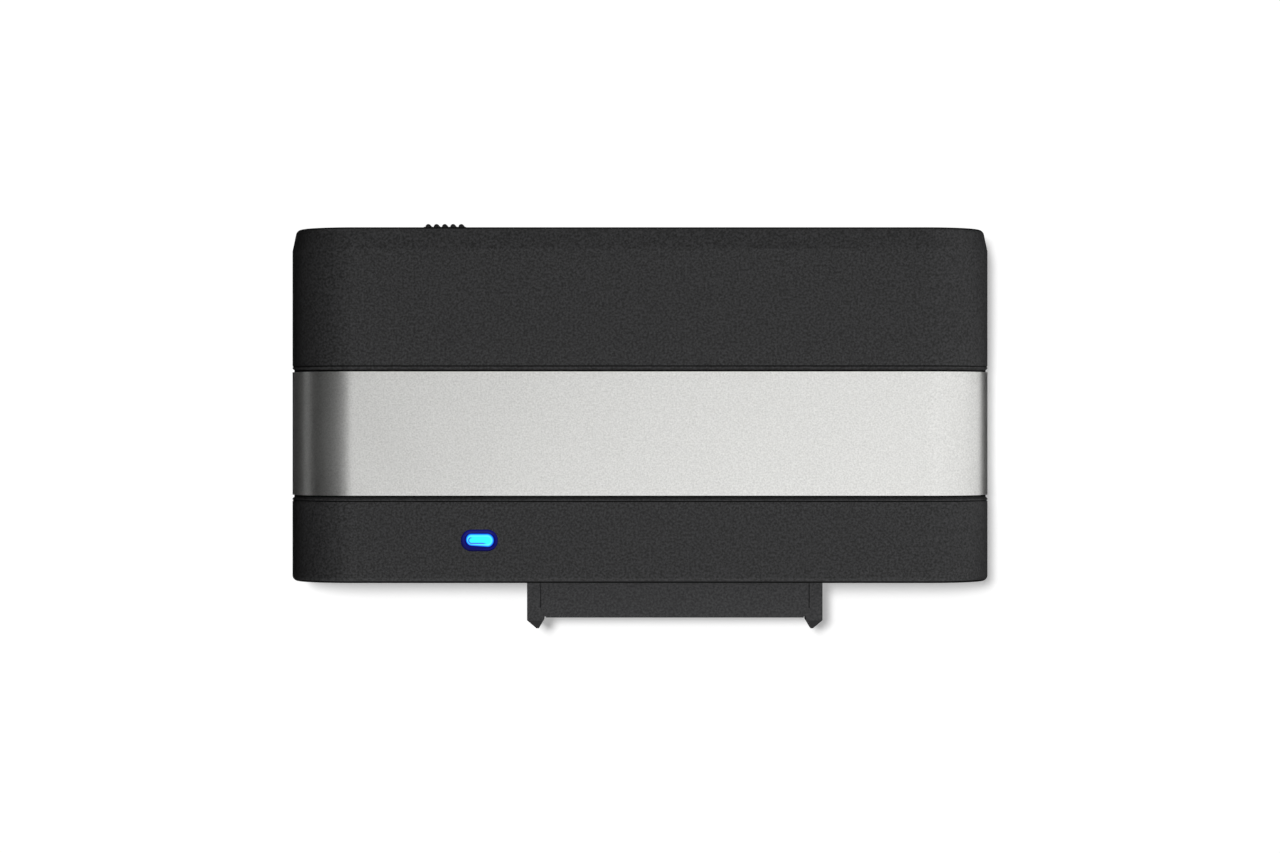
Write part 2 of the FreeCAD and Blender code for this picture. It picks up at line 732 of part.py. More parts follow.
def cut_windows(body):
    """Cuts the socket's and the ports' openings through the front and rear walls."""
    for name, (place, outline) in port_windows().items():
        start = case_front - wall if place == "front" else wall_rear - wall
        cut(body, name, "XZ", start, start + wall * 3, outline)


def corners_of(front, rear, across):
    """The four places of a left and right, front and rear set."""
    return [(x, y) for x in (-across, across) for y in (front, rear)]


def top_cover():
    """The upper cover: a rounded tray with bosses, ribs, the band's recess and the window."""
    body = new_body("top_cover")
    hull(body, crown_outline, seam)
    cut(body, "Inside", "XZ", wall_front, wall_rear, crown_outline(wall, seam - wall))
    lip = tongue_thick + fit
    cut(
        body,
        "LipSeat",
        "XY",
        seam,
        seam + tongue_height + fit,
        rectangle(-wall_side - lip, wall_side + lip, wall_front - lip, wall_rear + lip),
    )
    around = rectangle(-side - wall, side + wall, case_front - wall, case_rear + wall)
    groove = plan_outline(seam_line_deep)
    cut(body, "SeamLine", "XY", seam, seam + seam_line_high, around, groove)
    places = corners_of(screw_front, screw_rear, screw_across)
    bosses = [(x, y, column_width) for x, y in places]
    pad(body, "Bosses", "XY", seam, ceiling + wall / 2, *bosses)
    pad(body, "Ribs", "XY", *stiffening_ribs(ceiling - rib_high, ceiling + wall / 2))
    inner = centred(lamp_across, lamp_place, flange_wide + fit * 2, flange_long + fit * 2)
    wide = flange_wide + (fit + collar_thick) * 2
    long = flange_long + (fit + collar_thick) * 2
    outer = centred(lamp_across, lamp_place, wide, long)
    pad(body, "Collar", "XY", ceiling - collar_high, ceiling + wall / 2, outer, inner)
    holes = [(x, y, screw_width + 2 * screw_slack) for x, y in places]
    cut(body, "ThreadHoles", "XY", seam, screw_seat + screw_reach + screw_end_gap, *holes)
    far = case_top + wall
    recess = ring(crown_outline, recess_depth, seam - wall, far)
    cut(body, "Recess", "XZ", band_front - band_gap, band_rear + band_gap, *recess)
    dress(body, "Chamfer", "Lips", lip_bevel, lip_edges)
    for name, (front, rear) in zip(("FrontLine", "RearLine"), line_places()):
        cut(body, name, "XZ", front, rear, *ring(crown_outline, line_depth, seam - wall, far))
    cut_windows(body)
    half = window_width / 2
    deep = window_length / 2
    left = lamp_across - half
    right = lamp_across + half
    window = rounded(left, right, lamp_place - deep, lamp_place + deep, deep - fit / 2)
    cut(body, "LampWindow", "XY", ceiling - wall, far, window)
    return body


def toe_recess(depth):
    """The region outside the lower cover that the band's side and toe take, on the right."""
    edge = side - depth
    low = case_bottom + depth
    radius = base_round - depth
    toe_end = side - base_round - band_toe - band_gap
    return [
        (side + wall, seam + wall),
        (side + wall, case_bottom - wall),
        (toe_end, case_bottom - wall),
        (toe_end, low),
        (edge - radius, low),
        (edge, low + radius, edge - radius, low + radius),
        (edge, seam + wall),
    ]


def bottom_cover():
    """The lower cover: a tray with a lip, columns, board posts, ribs and seats for the feet."""
    body = new_body("bottom_cover")
    hull(body, base_outline, seam)
    cut(body, "Inside", "XZ", wall_front, wall_rear, base_outline(wall, seam + wall))
    lip = tongue_thick
    pad(
        body,
        "Lip",
        "XY",
        seam,
        seam + tongue_height,
        rectangle(-wall_side - lip, wall_side + lip, wall_front - lip, wall_rear + lip),
        rectangle(-wall_side, wall_side, wall_front, wall_rear),
    )
    places = corners_of(screw_front, screw_rear, screw_across)
    pad(body, "Columns", "XY", floor_top - wall / 2, seam, *[(x, y, column_width) for x, y in places])
    posts = corners_of(post_front, post_rear, post_across)
    rounds = [(x, y, post_width) for x, y in posts]
    pad(body, "BoardPosts", "XY", floor_top - wall / 2, board_bottom, *rounds)
    pad(body, "Ribs", "XY", *stiffening_ribs(floor_top - wall / 2, floor_top + rib_high))
    seats = [(x, y, foot_width + 2 * fit) for x, y in places]
    cut(body, "FootSeats", "XY", case_bottom - wall, case_bottom + foot_seat, *seats)
    heads = [(x, y, screw_head + 2 * fit) for x, y in places]
    cut(body, "HeadSeats", "XY", case_bottom, screw_seat, *heads)
    holes = [(x, y, screw_width + 2 * screw_slack) for x, y in places]
    cut(body, "ScrewHoles", "XY", case_bottom, seam + fit, *holes)
    threads = [(x, y, board_screw_width + 2 * screw_slack) for x, y in posts]
    cut(body, "PostHoles", "XY", board_top - board_screw_reach - fit, board_bottom + fit, *threads)
    start = band_front - band_gap
    side_seat = cut(body, "Recess", "XZ", start, band_rear + band_gap, toe_recess(recess_depth))
    mirror(body, "RecessTwin", [side_seat], "YZ")
    toe_end = side - base_round - band_toe - band_gap

    def seat_edge(edge):
        return lip_edges(edge) and abs(edge.CenterOfMass.x) > toe_end

    dress(body, "Chamfer", "Lips", lip_bevel, seat_edge)
    for name, (front, rear) in zip(("FrontLine", "RearLine"), line_places()):
        line = cut(body, name, "XZ", front, rear, toe_recess(line_depth))
        mirror(body, name + "Twin", [line], "YZ")
    cut_windows(body)
    return body


def band_outline():
    """The band's own section: over the top, down both sides and round under the case."""
    inner = band_thick
    toe_end = side - base_round - band_toe
    top = case_top - crown_round
    low = case_bottom + base_round
    flat = side - crown_round
    under = side - base_round
    return [
        (toe_end, case_bottom),
        (under, case_bottom),
        (side, low, under, low),
        (side, top),
        (flat, case_top, flat, top),
        (-flat, case_top),
        (-side, top, -flat, top),
        (-side, low),
        (-under, case_bottom, -under, low),
        (-toe_end, case_bottom),
        (-toe_end, case_bottom + inner),
        (-under, case_bottom + inner),
        (inner - side, low, -under, low),
        (inner - side, top),
        (-flat, case_top - inner, -flat, top),
        (flat, case_top - inner),
        (side - inner, top, flat, top),
        (side - inner, low),
        (under, case_bottom + inner, under, low),
        (toe_end, case_bottom + inner),
    ]


def trim_band():
    """The aluminium band, bent to the case's section, with bright bevelled edges."""
    body = new_body("trim_band")
    pad(body, "Strip", "XZ", band_front, band_rear, band_outline())

    def outer_edge(edge):
        at_end = flat_at(edge, "Y", band_front) or flat_at(edge, "Y", band_rear)
        return at_end and on_surface(edge)

    dress(body, "Chamfer", "BrightEdges", band_bevel, outer_edge)
    return body


# Feet and screws


def rubber_feet():
    """Four round feet in their seats, which hide the case screws."""
    body = new_body("rubber_feet")
    places = corners_of(screw_front, screw_rear, screw_across)
    pad(body, "Feet", "XY", 0.0, foot_stand + foot_seat, *[(x, y, foot_width) for x, y in places])
    dress(body, "Chamfer", "FootBevel", foot_bevel, lambda edge: flat_at(edge, "Z", 0.0))
    return body


def cross(x, y, length, width):
    """The outline of a cross recess round a place."""
    arm = length / 2
    half = width / 2
    return [
        (x - arm, y - half),
        (x - half, y - half),
        (x - half, y - arm),
        (x + half, y - arm),
        (x + half, y - half),
        (x + arm, y - half),
        (x + arm, y + half),
        (x + half, y + half),
        (x + half, y + arm),
        (x - half, y + arm),
        (x - half, y + half),
        (x - arm, y + half),
    ]


def case_screws():
    """Four screws up through the columns of the lower cover into the bosses of the upper."""
    body = new_body("case_screws", z=screw_seat)
    places = corners_of(screw_front, screw_rear, screw_across)
    pad(body, "Heads", "XY", -screw_head_high, 0.0, *[(x, y, screw_head) for x, y in places])
    pad(body, "Threads", "XY", 0.0, screw_reach, *[(x, y, screw_width) for x, y in places])
    crosses = [cross(x, y, drive_length, drive_width) for x, y in places]
    cut(body, "Drives", "XY", -screw_head_high, drive_depth - screw_head_high, *crosses)
    return body


def board_screws():
    """Four screws that hold the board down on its posts."""
    body = new_body("board_screws", z=board_top)
    places = corners_of(post_front, post_rear, post_across)
    pad(body, "Heads", "XY", 0.0, board_screw_high, *[(x, y, board_screw_head) for x, y in places])
    pad(body, "Threads", "XY", -board_screw_reach, 0.0, *[(x, y, board_screw_width) for x, y in places])
    crosses = [cross(x, y, drive_length, drive_width) for x, y in places]
    cut(body, "Drives", "XY", board_screw_high - drive_depth, board_screw_high, *crosses)
    return body


# The board


def board_outline():
    """The board's outline, with its four corners cut out round the screw columns."""
    half = board_width / 2
    notch = screw_across - column_width / 2 - board_edge_gap
    front = screw_front + column_width / 2 + board_edge_gap
    rear = screw_rear - column_width / 2 - board_edge_gap
    return [
        (-notch, board_front),
        (notch, board_front),
        (notch, front),
        (half, front),
        (half, rear),
        (notch, rear),
        (notch, board_rear),
        (-notch, board_rear),
        (-notch, rear),
        (-half, rear),
        (-half, front),
        (-notch, front),
    ]


def circuit_board():
    """The board, with holes for its screws, for the pegs and for every lead."""
    body = new_body("circuit_board")
    pad(body, "Laminate", "XY", board_bottom, board_top, board_outline())
    holes = [(x, y, board_hole) for x, y in corners_of(post_front, post_rear, post_across)]
    holes += [(plug_across + s * peg_across, peg_place(), peg_width + 2 * fit) for s in (-1, 1)]
    slots = []
    for spots, bend, width in zip(strip_rows(), strip_bends(), strip_widths()):
        for x in spots:
            slots.append(centred(data_across + x, ports_face - bend, width + fit * 2, lead_hole))
    for step in (-1, 0, 1):
        x = switch_across + step * terminal_pitch()
        slots.append(centred(x, switch_face - terminal_bend(), terminal_width + fit * 2, lead_hole))
    for x, y in shell_legs():
        slots.append(centred(data_across + x, ports_face + y, lead_hole, leg_width() + 2 * port_gap))
    for place in jack_tails():
        slots.append(centred(jack_across, ports_face - place, blade_width + 2 * port_gap, lead_hole))
    for s in (-1, 1):
        x = switch_across + s * (switch_width / 2 - shell_thick / 2)
        slots.append(centred(x, switch_face - switch_depth / 2, lead_hole, tab_width + 2 * port_gap))
    cut(body, "Holes", "XY", board_bottom - wall, board_top + wall, *holes, *slots)
    return body


# The drive socket, in a frame at the middle of its nose, on the board


def peg_place():
    """How far from the origin the locating pegs are, front to rear."""
    return case_front - plug_reach + plug_depth - peg_width * 2


def guide_outline():
    """One guide post seen from above, on the left, with its pointed tip and its notch."""
    outer = -plug_width / 2
    inner = outer + guide_width
    root = guide_width
    point = outer + guide_bevel
    return [
        (outer, root),
        (outer, -guide_shoulder),
        (point, -guide_reach),
        (point + guide_flat, -guide_reach),
        (inner, -guide_shoulder),
        (inner, root),
    ]


def key_slot(across, width):
    """A slot with its key: a flat slot whose right end turns down."""
    left = across - width / 2
    right = across + width / 2
    high = slot_level + slot_high
    key = slot_level - slot_key
    return [
        (left, slot_level),
        (right - slot_high, slot_level),
        (right - slot_high, key),
        (right, key),
        (right, high),
        (left, high),
    ]


def channels(body, name, across, count):
    """The row of channels under a slot, open towards it, that hold the contacts."""
    half = contact_width / 2 + fit
    first = across - contact_pitch * (count - 1) / 2
    outline = rectangle(first - half, first + half, slot_level - channel_depth, slot_level + fit)
    channel = cut(body, name, "XZ", contact_width, plug_depth + fit, outline)
    repeat(body, name + "Row", [channel], "X", contact_pitch, count)


def slot_contacts(label, across, count):
    """A row of spring contacts: a bowed finger under the slot and a foot on the board."""
    body = new_body(label, plug_across, case_front - plug_reach, board_top)
    first = across - contact_pitch * (count - 1) / 2
    low = slot_level - channel_depth + fit
    bow = slot_level + slot_high * BOW_SHARE
    tip = contact_width * 2
    crest = slot_depth / 2
    heel = slot_depth - contact_width
    thick = contact_thick
    rear = plug_depth + fit
    finger = [
        (tip, slot_level - thick),
        (crest, bow),
        (heel, low + thick),
        (rear + thick, low + thick),
        (rear + thick * 2, thick),
        (rear + contact_tail, thick),
        (rear + contact_tail, 0.0),
        (rear + thick, 0.0),
        (rear, low),
        (heel, low),
        (crest, bow - thick),
        (tip, slot_level - thick * 2),
    ]
    half = contact_width / 2
    contact = pad(body, "Finger", "YZ", first - half, first + half, finger)
    repeat(body, "Row", [contact], "X", contact_pitch, count)
    return body


def sata_housing():
    """The socket's insulator: nose, pointed guide posts, keyed slots and locating pegs."""
    body = new_body("sata_housing", plug_across, case_front - plug_reach, board_top)
    half = plug_width / 2
    shoulder = plug_reach + wall + port_gap
    left = guide_width - half
    pad(body, "Nose", "XZ", 0.0, shoulder, rectangle(-half, half, 0.0, plug_height))
    step = shoulder_step
    block = rectangle(-half - step, half + step, 0.0, shoulder_height)
    pad(body, "Shoulders", "XZ", shoulder, plug_depth, block)
    guide = pad(body, "Guide", "XY", 0.0, plug_height, guide_outline())
    rise = guide_reach - guide_shoulder
    upper = [
        (-guide_reach, plug_height - guide_top_bevel),
        (-guide_shoulder, plug_height),
        (-guide_reach, plug_height),
    ]
    lower = [(-guide_reach, 0.0), (-guide_shoulder, 0.0), (-guide_reach, guide_top_bevel)]
    bevel = cut(body, "GuideBevel", "YZ", -half, left, upper, lower)
    gap = rectangle(left, left + guide_notch, -rise, notch_depth)
    notch = cut(body, "GuideNotch", "XY", 0.0, plug_height, gap)
    end = left - guide_line_inset
    line = rectangle(end - line_width, end, guide_line_end, shoulder)
    relief = cut(body, "GuideLine", "XY", plug_height - line_depth, plug_height, line)
    mirror(body, "GuideTwin", [guide, bevel, notch, relief], "YZ")
    pegs = [(s * peg_across, plug_depth - peg_width * 2, peg_width) for s in (-1, 1)]
    pad(body, "Pegs", "XY", -board_thick, 0.0, *pegs)
    cut(
        body,
        "Slots",
        "XZ",
        0.0,
        slot_depth,
        key_slot(signal_across, signal_width),
        key_slot(power_across, power_width),
    )
    channels(body, "SignalChannel", signal_across, SIGNAL_ROW)
    channels(body, "PowerChannel", power_across, POWER_ROW)
    return body


# The data port, in a frame at the middle of its face, on the board


def leg_width():
    return shell_thick * 5


def shell_legs():
    """Where the port's shell stands in the board."""
    edge = (data_width - shell_thick) / 2
    return [(s * edge, -data_depth * share) for s in (-1, 1) for share in LEG_SHARES]


def strip_rows():
    """Across places of the contacts: two above the lower tongue, two below, five on the upper."""
    pair = [-strip_pitch / 2, strip_pitch / 2]
    return [pair, pair, [fine_pitch * step for step in (-2, -1, 0, 1, 2)]]


def strip_widths():
    return [strip_width, strip_width, fine_strip]


def strip_bends():
    """How far behind the port's face each row of contacts turns down."""
    step = shell_thick * 4
    return [mouth_depth + step * 2, mouth_depth + step, mouth_depth + step * 3]


def mouth_floor():
    return (data_height - mouth_high - hat_high) / 2


def tongue_level():
    return mouth_floor() + (mouth_high - tongue_high) / 2 - shell_thick


def strip_levels():
    """Heights of the three rows: the tongues' faces that they lie on."""
    low = tongue_level()
    blade = mouth_floor() + mouth_high + (hat_high - blade_high) / 2
    return [low + tongue_high, low, blade]


def strip_outline(level, bend, slack):
    """A contact seen from the side: along its tongue, then down through the board."""
    half = strip_thick / 2 + slack
    tip = -tongue_setback - strip_thick
    return [
        (tip + slack, level + half),
        (-bend - half, level + half),
        (-bend - half, lead_low),
        (half - bend, lead_low),
        (half - bend, level - half),
        (tip + slack, level - half),
    ]


def usb_shell():
    """The steel shell of the data port, folded from sheet, with legs and spring slits."""
    body = new_body("usb_shell", data_across, ports_face, board_top)
    half = data_width / 2
    inner = half - shell_thick
    pad(body, "Box", "XZ", -data_depth, 0.0, rectangle(-half, half, 0.0, data_height))
    hollow = rectangle(-inner, inner, shell_thick, data_height - shell_thick)
    cut(body, "Hollow", "XZ", shell_thick - data_depth, shell_thick, hollow)
    legs = [centred(x, y, shell_thick, leg_width()) for x, y in shell_legs()]
    pad(body, "Legs", "XY", lead_low, 0.0, *legs)
    rear_row = mouth_depth - shell_thick
    underside = rectangle(-strip_pitch, strip_pitch, -data_depth + shell_thick * 2, -rear_row)
    cut(body, "LeadSlot", "XY", 0.0, shell_thick, underside)
    slit = [
        (shell_thick - mouth_depth / 2, data_height / 3),
        (-shell_thick * 4, data_height / 3),
        (-shell_thick * 4, data_height / 2),
        (shell_thick - mouth_depth / 2, data_height / 2),
        (shell_thick - mouth_depth / 2, data_height / 2 - shell_thick),
        (-shell_thick * 5, data_height / 2 - shell_thick),
        (-shell_thick * 5, data_height / 3 + shell_thick),
        (shell_thick - mouth_depth / 2, data_height / 3 + shell_thick),
    ]
    spring = cut(body, "SpringSlit", "YZ", inner - shell_thick, half + shell_thick, slit)
    mirror(body, "SpringTwin", [spring], "YZ")
    return body


def usb_insulator():
    """The port's plastic block, with its two-step mouth and the two tongues inside it."""
    body = new_body("usb_insulator", data_across, ports_face, board_top)
    edge = data_width / 2 - shell_thick - fit / 2
    low = shell_thick + fit / 2
    high = data_height - shell_thick - fit / 2
    rear = shell_thick + fit / 2 - data_depth
    pad(body, "Block", "XZ", rear, -port_gap, rectangle(-edge, edge, low, high))
    ground = mouth_floor()
    roof = ground + mouth_high
    half = mouth_width / 2
    slope = half - mouth_slope
    mouth = [
        (-half, ground),
        (half, ground),
        (half, roof - mouth_slope),
        (slope, roof),
        (slope, roof + hat_high),
        (-slope, roof + hat_high),
        (-slope, roof),
        (-half, roof - mouth_slope),
    ]
    cut(body, "Mouth", "XZ", -mouth_depth, fit, mouth)
    level = tongue_level()
    tongue = rectangle(-tongue_wide / 2, tongue_wide / 2, level, level + tongue_high)
    blade_level = strip_levels()[2]
    blade = rectangle(-blade_wide / 2, blade_wide / 2, blade_level, blade_level + blade_high)
    pad(body, "Tongues", "XZ", -mouth_depth, -tongue_setback, tongue, blade)
    names = ("Upper", "Lower", "Fine")
    rows = zip(names, strip_rows(), strip_bends(), strip_levels(), strip_widths())
    for name, spots, bend, level, width in rows:
        grow = width / 2 + fit / 4
        outline = strip_outline(level, bend, fit / 4)
        pitch = spots[1] - spots[0]
        tunnel = cut(body, name + "Tunnel", "YZ", spots[0] - grow, spots[0] + grow, outline)
        repeat(body, name + "Tunnels", [tunnel], "X", pitch, len(spots))
    return body


def usb_contacts():
    """The port's nine contacts, each one strip from its tongue down through the board."""
    body = new_body("usb_contacts", data_across, ports_face, board_top)
    names = ("Upper", "Lower", "Fine")
    rows = zip(names, strip_rows(), strip_bends(), strip_levels(), strip_widths())
    for name, spots, bend, level, width in rows:
        outline = strip_outline(level, bend, 0.0)
        pitch = spots[1] - spots[0]
        strip = pad(body, name, "YZ", spots[0] - width / 2, spots[0] + width / 2, outline)
        repeat(body, name + "Row", [strip], "X", pitch, len(spots))
    return body


# The power jack, in a frame at the middle of its face, on the board


def jack_tails():
    """How far behind the jack's face its two terminals go down."""
    return [jack_bore_depth + blade_thick * 4, jack_depth + fit + blade_thick / 2]


def jack_spring_outline(slack):
    """The side contact seen from the side: a sprung leaf along the bore, and its terminal."""
    bore_low = jack_axis - jack_bore / 2
    tail = jack_tails()[0]
    half = blade_thick / 2 + slack
    front = -pin_setback * 2
    return [
        (front + slack, bore_low - blade_thick),
        (front - jack_bore_depth / 4, bore_low + blade_thick + slack),
        (-tail - half, bore_low - blade_thick / 2 + slack),
        (-tail - half, lead_low),
        (half - tail, lead_low),
        (half - tail, bore_low - blade_thick * 3 / 2 - slack),
        (front - jack_bore_depth / 4, bore_low - slack),
        (front + slack, bore_low - blade_thick * 2 - slack),
    ]


def dc_jack_body():
    """The jack's moulded body: a square front, a round-backed barrel and its bore."""
    body = new_body("dc_jack_body", jack_across, ports_face, board_top)
    half = jack_width / 2
    barrel = [
        (-half, 0.0),
        (half, 0.0),
        (half, jack_axis),
        (0.0, jack_axis + half, 0.0, jack_axis),
        (-half, jack_axis, 0.0, jack_axis),
    ]
    pad(body, "Barrel", "XZ", -jack_depth, -jack_flange, barrel)
    pad(body, "Front", "XZ", -jack_flange, 0.0, rectangle(-half, half, 0.0, jack_height))
    cut(body, "Bore", "XZ", -jack_bore_depth, fit, (0.0, jack_axis, jack_bore))
    shank = (0.0, jack_axis, pin_shank + 2 * screw_slack)
    cut(body, "PinHole", "XZ", -jack_depth - fit, -jack_bore_depth, shank)
    grow = blade_width / 2 + fit / 2
    cut(body, "SpringSlot", "YZ", -grow, grow, jack_spring_outline(fit / 2))
    return body


def dc_jack_pin():
    """The centre pin, turned with a rounded end, and the terminal riveted to it."""
    body = new_body("dc_jack_pin", jack_across, ports_face, board_top)
    rear = jack_depth + fit
    pad(body, "Shank", "XZ", -rear, -jack_bore_depth, (0.0, jack_axis, pin_shank))
    pad(body, "Pin", "XZ", -jack_bore_depth, -pin_setback, (0.0, jack_axis, pin_width))
    tail = rectangle(-blade_width / 2, blade_width / 2, lead_low, jack_axis + pin_width)
    pad(body, "Terminal", "XZ", -rear - blade_thick, -rear, tail)
    dress(body, "Chamfer", "PinEnd", pin_bevel, lambda edge: flat_at(edge, "Y", -pin_setback))
    return body


def dc_jack_spring():
    """The sprung side contact that presses on the plug's barrel."""
    body = new_body("dc_jack_spring", jack_across, ports_face, board_top)
    half = blade_width / 2
    pad(body, "Leaf", "YZ", -half, half, jack_spring_outline(0.0))
    return body


# The slide switch, in a frame at the middle of its frame's face, on the board


def terminal_pitch():
    return switch_width / 4


def terminal_bend():
    """How far behind the switch's face its terminals go down."""
    return switch_depth + shell_thick * 3


def switch_frame():
    """The steel frame: a folded box, open behind, with the stem's slot and two legs."""
    body = new_body("switch_frame", switch_across, switch_face, board_top)
    half = switch_width / 2
    inner = half - shell_thick
    low = shell_thick
    pad(body, "Box", "XZ", -switch_depth, 0.0, rectangle(-half, half, 0.0, switch_height))
    hollow = rectangle(-inner, inner, low, switch_height - low)
    cut(body, "Hollow", "XZ", -switch_depth - fit, -shell_thick, hollow)
    reach = (stem_width + knob_travel) / 2 + knob_gap
    middle = switch_height / 2
    gap = stem_width / 2 + knob_gap
    slot = rectangle(-reach, reach, middle - gap, middle + gap)
    cut(body, "StemSlot", "XZ", -shell_thick * 2, shell_thick, slot)
    across = half - shell_thick / 2
    legs = [centred(s * across, -switch_depth / 2, shell_thick, tab_width) for s in (-1, 1)]
    pad(body, "Legs", "XY", lead_low, 0.0, *legs)
    return body


def switch_base():
    """The laminate base that closes the frame and carries the three terminals."""
    body = new_body("switch_base", switch_across, switch_face, board_top)
    half = switch_width / 2 - shell_thick - fit / 2
    low = shell_thick + fit / 2
    plate = rectangle(-half, half, low, switch_height - low)
    pad(body, "Plate", "XZ", -switch_depth, base_thick - switch_depth, plate)
    slots = []
    middle = switch_height / 2
    for step in (-1, 0, 1):
        x = step * terminal_pitch()
        grow = tab_width / 2 + fit / 2
        tall = blade_thick / 2 + fit / 2
        slots.append(rectangle(x - grow, x + grow, middle - tall, middle + tall))
    cut(body, "TerminalSlots", "XZ", -switch_depth - fit, base_thick - switch_depth + fit, *slots)
    return body


def switch_terminals():
    """Three terminals: a contact head inside the base, and a tail down through the board."""
    body = new_body("switch_terminals", switch_across, switch_face, board_top)
    middle = switch_height / 2
    head = base_thick - switch_depth
    half = blade_thick / 2
    bend = terminal_bend()
    side_view = [
        (head + blade_thick, middle + tab_width / 2),
        (head, middle + tab_width / 2),
        (head, middle + half),
        (-bend - half, middle + half),
        (-bend - half, lead_low),
        (half - bend, lead_low),
        (half - bend, middle - half),
        (head, middle - half),
        (head, middle - tab_width / 2),
        (head + blade_thick, middle - tab_width / 2),
    ]
    first = -terminal_pitch()
    wide = terminal_width / 2
    tail = pad(body, "Tail", "YZ", first - wide, first + wide, side_view)
    repeat(body, "Row", [tail], "X", terminal_pitch(), 3)
    return body


def knob_place():
    """The knob's own frame: the middle of its ribbed face at rest, level with the rear face."""
    return knob_across, case_rear, knob_level


def switch_slider():
    """The switch's own slider, with the square stem that the knob is pressed on."""
    body = new_body("switch_slider", *knob_place())
    face = switch_face - case_rear
    half = slider_width / 2
    tall = switch_height / 2 - shell_thick - fit
    rear = face - switch_depth + base_thick + blade_thick + contact_thick + fit * 2
    pad(body, "Block", "XZ", rear, face - shell_thick - fit, rectangle(-half, half, -tall, tall))
    stem = stem_width / 2
    end = -wall / 2
    pad(body, "Stem", "XZ", face - shell_thick - fit, end, rectangle(-stem, stem, -stem, stem))
    return body


def switch_wiper():
    """The bridging contact clip that the slider carries along the terminals."""
    body = new_body("switch_wiper", *knob_place())
    face = switch_face - case_rear
    front = face - switch_depth + base_thick + blade_thick + fit
    half = slider_width / 2 - contact_thick
    tall = switch_height / 2 - shell_thick * 2
    clip = [
        (-half, front + contact_thick),
        (-half, front),
        (-half / 2, front - fit / 2),
        (half / 2, front - fit / 2),
        (half, front),
        (half, front + contact_thick),
    ]
    pad(body, "Clip", "XY", -tall, tall, clip)
    return body


def switch_knob():
    """The ribbed knob in its slot, with the plate behind the wall that guides and hides it."""
    body = new_body("switch_knob", *knob_place())
    half = knob_width / 2
    tall = knob_height / 2
    inside = -wall - knob_gap
    face = knob_reach - knob_rib_high
    pad(body, "Block", "XZ", inside, face, rectangle(-half, half, -tall, tall))
    plate_half = slot_half + knob_travel / 2
    plate_tall = tall + knob_gap + plate_overlap
    plate = rectangle(-plate_half, plate_half, -plate_tall, plate_tall)
    pad(body, "Plate", "XZ", inside - knob_plate, inside, plate)
    rib_half = knob_rib / 2
    first = -knob_rib_pitch * 2
    bend = knob_rib_high
    profile = [
        (first - rib_half, face - fit),
        (first + rib_half, face - fit),
        (first + rib_half, face),
        (first, face + bend, first, face),
        (first - rib_half, face, first, face),
    ]
    rib = pad(body, "Rib", "XY", -tall, tall, profile)
    repeat(body, "Ribs", [rib], "X", knob_rib_pitch, 5)
    socket = stem_width + 2 * screw_slack
    seat = centred(0.0, 0.0, socket, socket)
    cut(body, "StemSocket", "XZ", inside - knob_plate - fit, fit - wall / 2, seat)
    return body


# The lamp


def status_lens():
    """The light pipe: a raised middle in a lower rim, a flange under the cover, and a stem."""
    low = board_top + lamp_height + lens_stem_gap
    body = new_body("status_lens", lamp_across, lamp_place)
    rim = case_top - lens_sink - lens_step
    wide = window_width / 2 - fit / 2
    deep = window_length / 2 - fit / 2
    pad(body, "Rim", "XY", ceiling, rim, rounded(-wide, wide, -deep, deep, deep - fit / 2))
    half = lens_width / 2
    long = lens_length / 2
    pad(body, "Middle", "XY", rim, case_top - lens_sink, rounded(-half, half, -long, long, long - fit / 2))
    flange = centred(0.0, 0.0, flange_wide, flange_long)
    pad(body, "Flange", "XY", ceiling - lens_flange, ceiling, flange)
    pad(body, "Stem", "XY", low, ceiling - lens_flange, rectangle(-half, half, -long, long))
    return body


def status_lamp():
    """The small lamp on the board under the light pipe."""
    body = new_body("status_lamp", lamp_across, lamp_place, board_top)
    base = centred(0.0, 0.0, lamp_width, lamp_length)
    pad(body, "Base", "XY", 0.0, lamp_height / 2, base)
    dome = centred(0.0, 0.0, lamp_dome, lamp_length)
    pad(body, "Dome", "XY", lamp_height / 2, lamp_height, dome)
    return body


# The electronics on the board


def gull_chip(label, x, y, width, length, pins):
    """A chip with bent leads along its left and right sides."""
    body = new_body(label, x, y, board_top)
    half = width / 2
    stand = chip_stand
    pad(body, "Package", "XY", stand, chip_high + stand, centred(0.0, 0.0, width, length))
    middle = stand + chip_high / 2
    thick = chip_lead_thick
    out = half + chip_lead_reach
    lead = [
        (half, middle + thick),
        (half + chip_lead_shoulder, middle + thick),
        (out - chip_lead_foot, thick),
        (out, thick),
        (out, 0.0),
        (out - chip_lead_foot - thick, 0.0),
        (half + chip_lead_shoulder - thick, middle),
        (half, middle),
    ]
    first = -contact_pitch * (pins - 1) / 2
    wide = chip_lead_width / 2
    bent = pad(body, "Lead", "XZ", first - wide, first + wide, lead)
    row = repeat(body, "LeadRow", [bent], "Y", contact_pitch, pins)
    left = pad(body, "LeftLead", "XZ", first - wide, first + wide, [(0.0 - c[0], c[1]) for c in lead])
    repeat(body, "LeftRow", [left], "Y", contact_pitch, pins)
    return body


def bridge_chip():
    """The square bridge chip, with its contacts under its edges and a dot at its first one."""
    body = new_body("bridge_chip", plug_across, bridge_place, board_top)
    half = bridge_width / 2
    pad(body, "Package", "XY", 0.0, bridge_high, rectangle(-half, half, -half, half))
    dot = half - bridge_high * 1.2
    cut(body, "Dot", "XY", bridge_high - fit, bridge_high, (-dot, dot, bridge_high))
    return body


